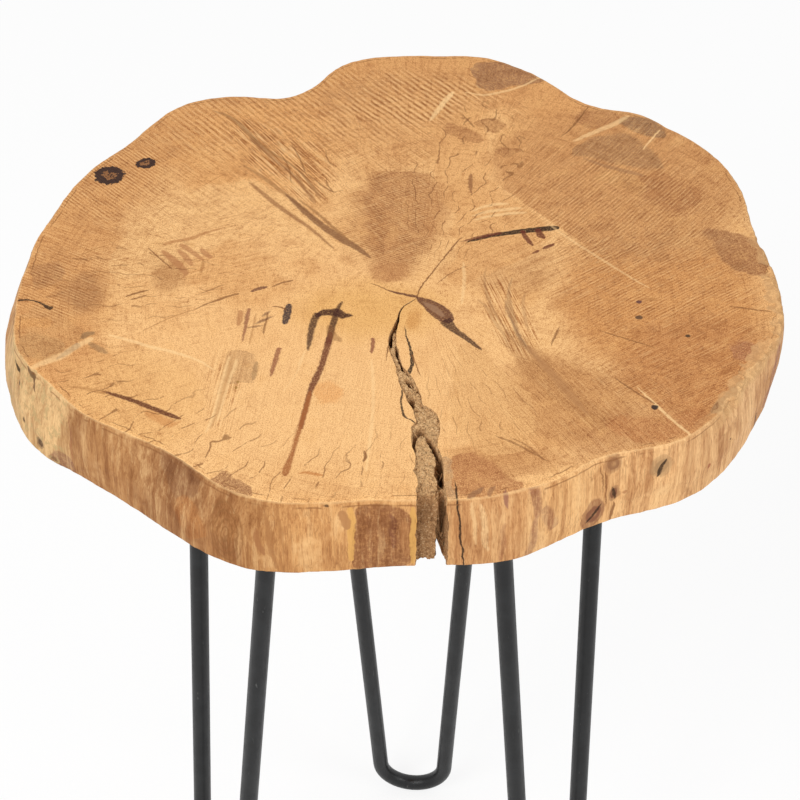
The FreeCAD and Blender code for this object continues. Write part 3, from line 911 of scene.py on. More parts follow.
    marks: tuple = (
        Mark(((16, -34.5, 0.6), (22, -40, 3.6), (28, -47.5, 4.6), (32, -53, 2)), PURPLE, 0.9, 0.92),
        Mark(((18.5, -37.5, 0), (24, -43, 1.8), (28.5, -49, 0.8)), paint(156, 118, 90), 1.2, 0.85),
        Mark(((29.5, -52.5, 3.2), (34, -60, 1.9), (38.5, -65, 1.5), (46, -74.5, 0.3)), BURN, 0.9, 0.9),
        Mark(((2.5, -29, 0.4), (5.5, -30.5, 0.7), (16, -34, 0.9)), PURPLE, 0.5, 0.9),
        Mark(((-7, -23, 0), (-2.5, -25.5, 0.3), (2.5, -29, 0.4)), UMBER, 0.4, 0.8),
        Mark(((16, -33.5, 0.4), (19, -24, 0.4), (35, 8.5, 0.4), (40.5, 16, 0)), UMBER, 0.4, 0.9),
        Mark(((25.5, -24, 0), (33, -15, 0.35), (42, -8.5, 0)), UMBER, 0.4, 0.7),
        Mark(((41, 10.5, 0.3), (58, 17, 1.5), (80, 21.5, 2), (87, 22.5, 1.3)), SHADOW, 0.6, 0.97),
        Mark(((37.5, 10.5, 0), (51.5, 16, 1.2), (58, 18, 0.9)), RUST, 0.6, 0.8),
        Mark(((69, 19.5, 1.1), (70.5, 14.5, 1.3), (73.5, 7.5, 0.6)), RUST, 0.8, 0.9),
        Mark(((76.5, 21, 1.2), (78, 16, 1.9), (79.5, 13.5, 0.8)), RUST, 0.8, 0.9),
        Mark(((78.5, 5, 0.6), (81, 6.5, 1.1), (84, 8.5, 0.8)), RUST, 0.7, 0.9),
        Mark(((73.5, 1, 0.4), (76, 3, 0.8)), RUST, 0.7, 0.8),
        Mark(((-20, -38, 0.5), (-22, -43.5, 1.1), (-23.5, -52, 1.6), (-26, -69.5, 1.5)), BURN, 1, 0.9),
        Mark(((-25, -62, 1), (-26, -69.5, 1.6), (-28.5, -85, 1.45), (-31.5, -97, 1.6), (-33.5, -105, 1.2),
              (-37, -130.5, 1)), paint(112, 62, 42), 1.1, 0.95),
        Mark(((-33.5, -105, 0.6), (-35, -116.5, 1.3), (-40, -146.5, 1), (-42.5, -159, 1.7),
              (-43, -162, 1)), paint(160, 96, 52), 1.3, 0.9),
        Mark(((-32, -48.5, 1.6), (-29.5, -46.5, 2.2), (-25, -46, 2.6), (-21, -47, 3.4),
              (-18.5, -48.5, 2.2), (-15, -48.5, 0.4)), BURN, 1.4, 0.97),
        Mark(((-31.5, -47, 1.8), (-33.5, -54.5, 1.7), (-35.5, -75, 0.2)), BURN, 1.2, 0.9),
        Mark(((-26, -56.5, 1.2), (-23.5, -64.5, 2.2), (-20.5, -68, 1)), UMBER, 1.2, 0.5),
        Mark(((-37, -161, 0.2), (-33.5, -160.5, 0.9), (-29.5, -161.5, 1), (-26, -162.5, 0.2)),
             paint(190, 122, 66), 0.9, 0.8),
        Mark(((-45.5, -40, 1.2), (-46, -46, 1.9), (-47, -54.5, 1.2)), paint(72, 56, 54), 0.9, 0.97),
        Mark(((-53, -41.5, 0.3), (-50, -42, 0.5), (-47.5, -43.5, 0.6)), UMBER, 0.4, 0.9),
        Mark(((-49, -73.5, 1.1), (-50, -80, 1.2), (-52, -93.5, 0.4)), paint(150, 94, 66), 1, 0.9),
        Mark(((-68.5, -45, 1.3), (-68.5, -50.5, 1.5), (-69, -56, 0.7)), paint(186, 130, 84), 1.4, 0.85),
        Mark(((-64.5, -43.5, 0.8), (-65, -49, 1), (-66, -63, 0.6), (-66.5, -68, 0.2)), paint(146, 92, 66),
             1, 0.85),
        Mark(((-55.5, -47, 0.3), (-56, -53.5, 0.5), (-57, -61.5, 0.5)), UMBER, 0.7, 0.75),
        Mark(((-61, -47.5, 0.4), (-62, -58.5, 0.5), (-63, -70.5, 0.2)), OCHRE, 0.8, 0.5),
        Mark(((-5, -66, 0.9), (-5, -71, 1), (-5.5, -76.5, 0.5)), paint(140, 84, 62), 0.9, 0.9),
        Mark(((-129, -104.5, 0.2), (-123.5, -107, 0.9), (-115, -111, 1.4), (-98.5, -120.5, 1.4),
              (-92, -124, 0.8)), paint(100, 54, 36), 1, 0.95),
        Mark(((-147, -101, 0), (-138.5, -102.5, 1), (-128, -105.5, 1.4)), OCHRE, 1.4, 0.5),
        Mark(((-108, -119, 1), (-102, -123.5, 2.6), (-95.5, -128, 2.2), (-91.5, -126, 0.6)),
             paint(196, 130, 74), 2.5, 0.6),
        Mark(((-175.5, -36.5, 0.7), (-169, -37, 0.5), (-164, -39.5, 0.7), (-161.5, -42, 1.2),
              (-159.5, -43, 1.5)), SHADOW, 0.5, 0.92),
        Mark(((-152.5, -81.5, 0.3), (-150, -78.5, 1.2), (-147, -75, 1.6), (-143.5, -70.5, 1.5)),
             paint(104, 66, 58), 1.2, 0.9),
        Mark(((-142.5, -66, 0.8), (-140.5, -63, 1.8), (-137, -61.5, 0.8)), GREY_BROWN, 1.2, 0.8),
        Mark(((-138.5, -69.5, 1), (-134, -73.5, 1.7), (-129.5, -77, 0.6)), GREY_BROWN, 1.4, 0.65),
        Mark(((-169.5, -24, 0.3), (-157, -25.5, 0.35), (-142.5, -28.5, 0.4), (-133.5, -30, 0)), OCHRE, 0.5,
             0.7),
        Mark(((-124, -33.5, 0.5), (-119.5, -31, 0.7), (-114, -28.5, 0.3)), UMBER, 0.5, 0.85),
        Mark(((-121.5, -36, 0.4), (-118, -34.5, 0.6), (-114.5, -32.5, 0.2)), UMBER, 0.5, 0.75),
        Mark(((-151.5, -1.5, 0), (-144.5, 3.5, 0.4), (-138, 7.5, 0.3)), OCHRE, 0.5, 0.6),
        Mark(((-109, 8.5, 0.9), (-103.5, 11, 1.1), (-96, 13.5, 1.3), (-89.5, 18, 0.9), (-81.5, 22, 0.4)),
             paint(182, 126, 78), 1.1, 0.8),
        Mark(((-109.5, 3, 0.8), (-105.5, -2, 1.9), (-101, -8, 2), (-97, -14.5, 1.4), (-97.5, -18.5, 0.6)),
             paint(180, 124, 80), 1.3, 0.85),
        Mark(((-101.5, 3.5, 1), (-98, -1.5, 1.7), (-94.5, -8.5, 1)), paint(184, 128, 84), 1.2, 0.8),
        Mark(((-101, 8.5, 1), (-96, 3.5, 1.6), (-92.5, -0.5, 1.3), (-89, -4.5, 0.6)), paint(184, 128, 84),
             1.2, 0.8),
        Mark(((-89, -4.5, 0.5), (-89, -9.5, 0.9), (-89.5, -14.5, 0.7)), OCHRE, 1, 0.6),
        Mark(((-90.5, 4.5, 0.8), (-88, 0.5, 1.6), (-85.5, -2.5, 1.2)), paint(184, 128, 84), 1.2, 0.85),
        Mark(((-116.5, 5, 0.3), (-110.5, -3, 0.4), (-103.5, -12, 0.2)), UMBER, 0.4, 0.8),
        Mark(((-90, -43.5, 0.2), (-83.5, -38.5, 0.5), (-77.5, -35, 0.8), (-70.5, -31.5, 0.5)), UMBER, 0.6,
             0.75),
        Mark(((-64, -29.5, 0.6), (-60.5, -27.5, 1.1), (-57, -26, 0.7)), paint(116, 74, 56), 0.7, 0.9),
        Mark(((-54, -26, 0.2), (-50, -23, 0.6), (-44.5, -21, 0.4)), UMBER, 0.6, 0.8),
        Mark(((-90.5, -32.5, 0), (-84, -28.5, 0.4), (-78, -24.5, 0.3)), UMBER, 0.5, 0.6),
        Mark(((-115.5, -61.5, 0), (-102, -50.5, 0.4), (-90, -43.5, 0.3)), OCHRE, 0.5, 0.6),
        Mark(((-92, 128.5, 0.22), (-78.5, 117, 1.27), (-73, 108.5, 1.42), (-65, 95.5, 1.05),
              (-46, 74.5, 0.6), (-39.5, 63.5, 0.6), (-34, 50.5, 0.3)), paint(150, 108, 68), 1.1, 0.68),
        Mark(((-71.5, 103, 0.2), (-66, 95, 1.1), (-57.5, 82.5, 1.2), (-49, 71, 0.9), (-43.5, 61, 0.8),
              (-36, 43.5, 0.2)), paint(152, 106, 68), 1.1, 0.68),
        Mark(((-46, 71, 0.3), (-42, 59, 0.9), (-37, 49.5, 0.9), (-35, 43.5, 0.3)), paint(160, 112, 70),
             0.8, 0.64),
        Mark(((-44, 72.5, 0.2), (-39, 61, 0.7), (-34.5, 53, 0.9), (-32.5, 48, 0.3)), paint(160, 112, 70),
             0.7, 0.6),
        Mark(((-54, 87, 0.2), (-50, 75.5, 0.4), (-48, 62, 0.2)), UMBER, 0.4, 0.6),
        Mark(((-49, 96.5, 0.2), (-45, 85.5, 0.4), (-42, 74.5, 0.5), (-41, 70, 0.2)), UMBER, 0.4, 0.65),
        Mark(((-39.5, 69, 0.3), (-27, 54, 0.5), (-21.5, 55, 0.2)), UMBER, 0.4, 0.65),
        Mark(((-31, 91, 0.2), (-29.5, 81.5, 0.4), (-26.5, 76.5, 0.2)), UMBER, 0.4, 0.6),
        Mark(((-30, 65.5, 0.2), (-29, 59, 0.5), (-26.5, 54, 0.3)), UMBER, 0.5, 0.6),
        Mark(((-39.5, 109.5, 0.2), (-33, 98.5, 0.5), (-26.5, 89, 0.5), (-23, 83.5, 0.2)), OCHRE, 0.6, 0.55),
        Mark(((-73, 77, 0.2), (-66, 70, 0.8), (-59.5, 62.5, 1.2), (-43, 41.5, 1), (-31.5, 25.5, 1.2)),
             paint(158, 112, 70), 1.2, 0.68),
        Mark(((-50.5, 51.5, 0.3), (-31.5, 24.5, 2), (-21.5, 13.5, 2.3), (-14, 6, 1.8), (-6.5, -2.5, 0.3)),
             paint(136, 94, 62), 1.2, 0.9),
        Mark(((-44, 47, 0.2), (-34.5, 35.5, 0.8), (-25, 22, 0.9), (-17, 11, 0.3)), paint(158, 112, 70), 1,
             0.8),
        Mark(((-69.5, 62, 0.2), (-62.5, 52.5, 1.3), (-55, 42.5, 1.4), (-36, 20.5, 1), (-25, 5, 0.2)),
             paint(160, 112, 72), 1.2, 0.85),
        Mark(((10, -56.5, 0), (11, -65, 0.35), (12.5, -72, 0.6), (13.5, -83, 0.9), (12.5, -89.5, 0.9),
              (11.5, -94, 0.6)), SHADOW, 0.4, 0.95),
        Mark(((13.5, -78.5, 0.4), (15.5, -86.5, 0.35), (17.5, -94.5, 0)), UMBER, 0.35, 0.85),
        Mark(((3.5, -67.5, 0.5), (2, -75, 0.35), (1.5, -83, 0)), UMBER, 0.35, 0.9),
        Mark(((9, -102.5, 0.3), (8.5, -114.5, 0.5), (9.5, -121.5, 0.6), (13, -125, 0.4), (15, -128, 0.3)),
             SHADOW, 0.4, 0.92),
        Mark(((32, -165.5, 0), (32.5, -172, 0.4), (33, -180.5, 0.5)), SHADOW, 0.35, 0.92),
        Mark(((50, -11, 0.11), (49, -20, 0.5), (49.5, -29.5, 0.88), (51.5, -40.5, 0.99), (55.5, -53, 0.66),
              (60, -64.5, 0.44), (64.5, -72.5, 0.22)), paint(164, 120, 80), 1.1, 0.52),
        Mark(((45.5, -36.5, 0.3), (50, -43.5, 0.9), (53, -53.5, 1), (58, -65, 0.3)), paint(170, 126, 84),
             1, 0.45),
        Mark(((62.5, -18.5, 0.1), (60.5, -29, 0.8), (60.5, -40, 1.4), (62, -51.5, 1.4), (63.5, -62, 1),
              (73.5, -83.5, 0.4)), paint(158, 120, 84), 1.2, 0.52),
        Mark(((58.5, -36.5, 0.1), (59.5, -46, 0.7), (63, -60, 0.7), (69, -75, 0.3)), paint(146, 114, 84),
             1, 0.52),
        Mark(((68.5, -30.5, 0.2), (67, -39, 0.9), (67.5, -50.5, 0.9), (68.5, -60, 0.3)),
             paint(174, 130, 88), 0.9, 0.45),
        Mark(((54, -32, 0.5), (56, -40, 1), (57, -47.5, 0.6)), paint(226, 172, 118), 1.2, 0.45),
        Mark(((68, -72, 1.2), (73.5, -83.5, 1.8), (80, -95.5, 2), (94, -122.5, 0.4)), paint(176, 126, 82),
             1.6, 0.7),
        Mark(((83.5, -57.5, 0.2), (81, -64.5, 0.6), (79, -71, 0.2)), UMBER, 0.5, 0.75),
        Mark(((37, -178, 0.3), (40, -174.5, 1.5), (43, -172, 1.2), (44.5, -170, 0.3)), paint(150, 108, 76),
             0.9, 0.85),
        Mark(((46.5, -176.5, 0.3), (47.5, -172.5, 1.2), (49.5, -169.5, 0.4)), paint(158, 114, 80), 0.9, 0.8),
        Mark(((54, -172, 0.2), (54, -174.5, 0.8), (55, -178, 0.5)), paint(136, 92, 80), 0.8, 0.8),
        Mark(((51, -136, 0.2), (60, -141.5, 0.6), (66.5, -147, 0.6), (73.5, -153, 0.2)), UMBER, 0.5, 0.6),
        Mark(((57.5, -137, 0.2), (64, -142, 0.5), (71, -150.5, 0.3)), UMBER, 0.5, 0.5),
        Mark(((150, -119.5, 1), (156, -113, 3.2), (163, -104.5, 3.4), (169.5, -95.5, 1.2)),
             paint(158, 126, 92), 1.4, 0.75),
        Mark(((117.5, -102.5, 0.2), (132, -126, 0.7), (140.5, -137.5, 0.6)), PALE, 0.7, 0.75),
        Mark(((102.5, -60, 0.2), (114, -66, 0.4), (127, -72.5, 0.2)), UMBER, 0.5, 0.7),
        Mark(((107.5, -95.5, 0.2), (114.5, -103.5, 0.5), (123.5, -113, 0.5)), UMBER, 0.5, 0.75),
        Mark(((166.5, -41.5, 0.2), (175.5, -43.5, 0.5), (185.5, -45.5, 0.3)), UMBER, 0.5, 0.7),
        Mark(((109, 132.5, 0.3), (98.5, 111.5, 0.5), (92, 103, 0)), UMBER, 0.5, 0.8),
        Mark(((145, 109.5, 0.3), (140, 101, 0.5), (135, 92, 0.2)), PALE, 0.5, 0.71),
        Mark(((36.5, 146.5, 0.8), (32.5, 138.5, 1.5), (28, 128.5, 1.4), (24, 119, 0.4)), PALE, 1.2, 0.75),
        Mark(((43.5, 146, 0.4), (57.5, 144.5, 0.8), (71, 150.5, 0.8), (84, 161, 0.5)), PALE, 0.8, 0.57),
        Mark(((99.5, 99.5, 0.4), (108, 106, 1.4), (121.5, 115.5, 1.6), (129.5, 123, 0.8)), PALE, 1.2, 0.57),
        Mark(((103.5, 83.5, 0.4), (113.5, 77, 1.2), (124, 72, 1.6), (133, 68, 0.6)), paint(150, 108, 76),
             1.6, 0.55),
        Mark(((44.5, 69, 0.5), (44, 62, 1.1), (44, 53, 0.4)), paint(140, 92, 58), 0.9, 0.8),
        Mark(((40.5, 125, 0.2), (44, 119, 0.5), (47, 112.5, 0.2)), UMBER, 0.5, 0.7),
        Mark(((82, 26, 0.3), (96, 8.5, 0.7), (123, -21.5, 0.6), (129, -27, 0.2)), PALE, 0.6, 0.42),
        Mark(((44.5, 36.5, 0.3), (50.5, 40.5, 1), (56.5, 42.5, 1.2), (62.5, 43, 0.4)), PALE, 0.9, 0.61),
        Mark(((44, 32.5, 0.3), (53.5, 36.5, 1.1), (61.5, 38, 1.2), (69.5, 39.5, 0.4)), PALE, 0.9, 0.61),
        Mark(((45, 29, 0.3), (54, 32.5, 1), (62.5, 34.5, 1.1), (71.5, 35.5, 0.4)), PALE, 0.9, 0.61),
        Mark(((-129.5, -63.5, 0.4), (-119.5, -67.5, 0.9), (-110, -72, 1), (-100, -75.5, 1),
              (-90.5, -80, 0.8), (-79, -89, 0.3)), PALE, 0.8, 0.65),
        Mark(((-164, -88, 0.6), (-157.5, -83.5, 1.8), (-151, -79.5, 2.2), (-144.5, -72, 1.8),
              (-137.5, -66, 1.2)), PALE, 1.8, 0.61),
        Mark(((-72, -79.5, 0.4), (-74.5, -99.5, 1), (-76.5, -120, 0.9), (-79.5, -133.5, 0.3)), PALE, 1, 0.61),
        Mark(((-68.5, -82, 0.4), (-72, -103.5, 0.8), (-75, -125, 0.4)), PALE, 0.9, 0.57),
        Mark(((-70.5, -80, 0.6), (-73, -99.5, 1.2), (-75.5, -119.5, 1), (-77.5, -130.5, 0.3)),
             paint(196, 148, 98), 1.2, 0.6),
        Mark(((-59, -83.5, 0.6), (-59.5, -89.5, 1.2), (-60, -96, 0.6)), GREY_BROWN, 1, 0.55),
        Mark(((-5.5, -82, 0.3), (-4.5, -99.5, 0.8), (-4.5, -115.5, 0.8), (-7, -159, 0.3)), PALE, 0.9, 0.51),
        Mark(((39, -6.5, 0.3), (39, -22.5, 0.9), (37.5, -39, 0.5)), PALE, 0.8, 0.51),
        Mark(((-36.5, -75, 0.2), (-38.5, -83, 0.6), (-40, -91, 0.3), (-45.5, -104, 0.2)), PALE, 0.7, 0.51),
        Mark(((-8, -146.5, 0.4), (-7.5, -150.5, 0.8), (-8.5, -153, 0.3)), UMBER, 0.6, 0.8),
    )
    ticks: tuple = (
        Tick((123, -38), (1.8, 1.6), 0, paint(96, 60, 62), 0.5, 0.9),
        Tick((122, -50), (2.4, 1.9), 0, paint(92, 66, 50), 0.5, 0.9),
        Tick((144, -64), (1.6, 1.5), 0, paint(66, 52, 40), 0.5, 0.9),
        Tick((124, -116), (2, 2), 0, paint(50, 42, 40), 0.4, 0.95),
        Tick((128, -36), (6, 2), 0, OCHRE, 0.8, 0.4),
        Tick((-179, -19), (3.2, 4.2), 0, paint(126, 120, 96), 0.6, 0.8),
        Tick((-67.5, -102), (1.1, 1.1), 0, paint(158, 118, 60), 0.5, 0.8),
        Tick((-67, -98), (1, 1), 0, paint(158, 118, 60), 0.5, 0.8),
        Tick((-57, -52), (6.5, 1.2), 35, PURPLE, 0.7, 0.65),
        Tick((-61, -57), (5, 1), 12, PURPLE, 0.7, 0.55),
        Tick((-56, -47), (3.4, 1.2), 50, PURPLE, 0.6, 0.6),
    )
    knots: tuple = (
        PinKnot((-142, 68), (8, 8.6), 10),
        PinKnot((-124, 79), (5.6, 4.8), 25),
    )

    def ground(self, graph: Graph, place: Socket, wide: Socket, mid: Socket, fine: Socket,
               rim: Field) -> Socket:
        """Colour of the plain wood: clouds, the sapwood ring, and the stained zones and patches."""
        cloud = graph.noise(place, 55.0, 3.0, 0.6)
        colour = graph.blend(paint(249, 200, 139), paint(237, 184, 123), cloud.ease(0.46, 0.66))
        ring_noise = graph.noise(place, 34.0, 3.0)
        ring = (rim + ring_noise * 34.0).ease(66.0, 48.0)
        _, north = graph.axes_at(wide, (-30.0, -60.0), 48.0)
        colour = graph.blend(colour, paint(221, 163, 104), ring * north.ease(0.0, 34.0, 0.0, 0.85))
        for zone in self.zones:
            cover = graph.spot(wide, zone.centre, zone.halves, zone.turn, zone.soft, zone.strength)
            colour = graph.blend(colour, zone.colour, cover)
        _, beyond = graph.axes_at(fine, (88.0, 22.0), -51.0)
        block = graph.spot(wide, (120.0, 62.0), (76.0, 78.0), 0.0, 0.3) * beyond.ease(-0.6, 1.2)
        colour = graph.blend(colour, paint(213, 158, 103), block * 0.95)
        speckle = graph.noise(place, 1.6, 4.0, 0.75).ease(0.66, 0.46, 0.55, 1.0)
        return graph.layers("top_patches", colour, mid, self.patches, speckle)

    def grain(self, graph: Graph, place: Socket, colour: Socket) -> tuple:
        """Pores, mottling and brown flecks laid on a colour; gives the colour and a relief."""
        grit = graph.noise(place, 0.6, 3.0, 0.75)
        blotch = graph.noise(place, 2.6, 5.0, 0.8)
        cloud = graph.noise(place, 13.0, 5.0, 0.7)
        calm = graph.spot(place, *self.calm)
        lively = (1.0 - calm) * 0.7 + 0.05
        colour = graph.blend(colour, DARKER, cloud.ease(0.50, 0.70) * lively * 0.5, "MULTIPLY")
        colour = graph.blend(colour, DARKER, blotch.ease(0.50, 0.66) * lively * 0.8, "MULTIPLY")
        colour = graph.blend(colour, GLOW, cloud.ease(0.46, 0.30, 0.0, 0.3))
        colour = graph.blend(colour, DARKER, grit.ease(0.46, 0.66, 0.0, 0.85), "MULTIPLY")
        colour = graph.blend(colour, GLOW, grit.ease(0.44, 0.28, 0.0, 0.6))
        right = graph.spot(place, (140.0, -20.0), (84.0, 150.0), 0.0, 0.6)
        flecks = graph.grain(place, 34.0, 3.4, 0.8, 3.0, 0.65)
        colour = graph.blend(colour, paint(156, 102, 62), flecks.ease(0.58, 0.70) * right * 0.75)
        west = graph.spot(place, (-150.0, 10.0), (60.0, 100.0), 0.0, 0.6)
        colour = graph.blend(colour, paint(164, 112, 68), grit.ease(0.56, 0.66) * west * 0.45)
        return colour, grit * 0.25 + blotch * 0.2

    def sawing(self, graph: Graph, place: Socket, wide: Socket, colour: Socket) -> Socket:
        """The saw's marks, hatch by hatch: darker lines with paler wood between them."""
        clean = graph.spot(wide, (42.0, 66.0), (24.0, 84.0), -8.0, 0.4, 0.85)
        wobble = graph.noise(place, 16.0, 3.0)
        broken = graph.noise(place, 7.0, 4.0, 0.7).ease(0.40, 0.56, 0.35, 1.0) * (1.0 - clean)
        for hatch in self.hatches:
            area = graph.spot(wide, hatch.centre, hatch.halves, hatch.turn, hatch.soft,
                              hatch.strength) * broken
            if hatch.even:
                _, across = graph.axes_at(place, (0.0, 0.0), hatch.direction)
                wave = graph.math("SINE", across * (2.0 * math.pi / hatch.spacing) + wobble * 6.0)
                lines, lit = wave.ease(0.0, 0.9), wave.ease(-0.1, -0.9)
            else:
                stripes = graph.grain(place, hatch.direction, 26.0 * hatch.spacing + 8.0, hatch.spacing,
                                      3.0, 0.6)
                lines, lit = stripes.ease(0.50, 0.60), stripes.ease(0.46, 0.36)
            colour = graph.blend(colour, DARKER, lines * area, "MULTIPLY")
            colour = graph.blend(colour, PALE, lit * area * 0.4)
        return colour

    def pin_knots(self, graph: Graph, place: Socket, colour: Socket) -> Socket:
        """Black knots, each with a ragged brown ring."""
        ragged = graph.noise(place, 2.6, 4.0, 0.7)
        for knot in self.knots:
            x, y = graph.axes_at(place, knot.centre, knot.turn, knot.halves)
            spread = x * x + y * y + ragged * 1.5 - 0.75
            colour = graph.blend(colour, paint(50, 34, 34), spread.ease(1.0, 0.85, 0.0, 0.96))
            colour = graph.blend(colour, paint(160, 110, 70),
                                 (spread - 0.06).size().ease(0.16, 0.06, 0.0, 0.85))
        return colour

    def checks(self, graph: Graph, place: Socket, colour: Socket, rim: Field) -> Socket:
        """Rays, rings and hairline checks round the pith; the checks wander a little off their way."""
        dx, dy = graph.axes_at(place, PITH, 0.0)
        bearing = graph.math("ARCTAN2", dx, dy)
        reach = graph.math("SQRT", dx * dx + dy * dy)
        wave = graph.noise(place, 5.0, 4.0, 0.65)
        rays = graph.noise(graph.vector(bearing * 120.0, reach * 0.06), 1.0, 3.0, 0.6)
        rings = graph.noise(graph.vector(bearing * 2.6, reach * 0.7), 1.0, 3.0, 0.65)
        wander = graph.noise(place, 16.0, 1.0, 0.5)
        long = graph.math("SINE", bearing * 50.0 + wander * 5.0 + wave * 0.6)
        short = graph.math("SINE", bearing * 36.0 + wander * 6.0 + wave * 0.9)
        calm = graph.spot(place, *self.calm)
        colour = graph.blend(colour, DARKER, rays.ease(0.52, 0.70) * (0.32 - calm * 0.2), "MULTIPLY")
        colour = graph.blend(colour, DARKER, rings.ease(0.52, 0.70) * (0.27 - calm * 0.15), "MULTIPLY")
        broken = graph.noise(place, 9.0, 3.0)
        north_east = graph.spot(place, (42.0, 66.0), (34.0, 84.0), -10.0, 0.3)
        front = rim.ease(62.0, 20.0) * graph.spot(place, (-70.0, -120.0), (120.0, 80.0), 0.0, 0.4)
        south = graph.spot(place, (46.0, -98.0), (36.0, 60.0), 0.0, 0.5, 0.6)
        west = graph.spot(place, (-120.0, -20.0), (62.0, 44.0), 0.0, 0.5, 0.7)
        line = long.size().ease(0.21, 0.06) * broken.ease(0.46, 0.54)
        colour = graph.blend(colour, UMBER, line * (front + west + south).least(1.0) * 0.7)
        line = short.size().ease(0.22, 0.06) * broken.ease(0.56, 0.48)
        return graph.blend(colour, UMBER, line * north_east * 0.7)

    def arris(self, graph: Graph, place: Socket, colour: Socket, rim: Field, torn: Field) -> Socket:
        """Rounded edge: a pale line along it, which is painted highlight of the arris, a brown line further
        in, and cream torn wood on the right.
        """
        edge_jitter = graph.noise(place, 3.0, 3.0)
        wander = graph.noise(place, 14.0, 2.0)
        crumbs = graph.noise(place, 3.6, 5.0, 0.75)
        # Painted highlight: a pale line along the rounded arris
        colour = graph.blend(colour, PALE, (rim + edge_jitter * 1.6).ease(1.5, 0.8, 0.0, 0.3))
        under_line = (rim + edge_jitter * 1.6 - 3.4).size()
        colour = graph.blend(colour, UMBER, under_line.ease(0.45, 0.15) * wander.ease(0.46, 0.56, 0.0, 0.65))
        band = (rim + edge_jitter * 5.0 + wander * 14.0).ease(14.0, 12.0) * torn
        colour = self.crumbled(graph, colour, band, crumbs, (paint(218, 172, 120), paint(186, 138, 92)))
        return graph.blend(colour, WARMTH, 1.0, "MULTIPLY")

    def draw(self, graph: Graph) -> Socket:
        """Lays the zones, the grain, the marks and the arris with its painted highlight on each other, bottom
        up.
        """
        place = graph.plan(self.middle, True)
        wide = graph.warp(place, 26.0, 7.0, 3.0)
        mid = graph.warp(place, 14.0, 4.5, 6.0)
        fine = graph.warp(place, 2.4, 0.55, 3.0)
        rim = graph.attribute("rim")
        torn = graph.attribute("torn")

        colour = self.ground(graph, place, wide, mid, fine, rim)
        colour, relief = self.grain(graph, place, colour)
        colour = self.sawing(graph, place, wide, colour)
        fibre = graph.noise(place, 0.9, 3.0, 0.7)
        colour = graph.layers("top_marks", colour, fine, self.marks, fibre.ease(0.70, 0.48, 0.65, 1.0))
        for tick in self.ticks:
            cover = graph.spot(fine, tick.centre, tick.halves, tick.turn, tick.soft, tick.strength)
            colour = graph.blend(colour, tick.colour, cover)
        colour = self.pin_knots(graph, place, colour)
        colour = self.checks(graph, place, colour, rim)
        colour = self.arris(graph, place, colour, rim, torn)
        normal = graph.bump(relief, 0.35, 0.6)
        return self.principled(graph, Base_Color=colour, Roughness=0.62, Normal=normal,
                               Specular_IOR_Level=0.08)


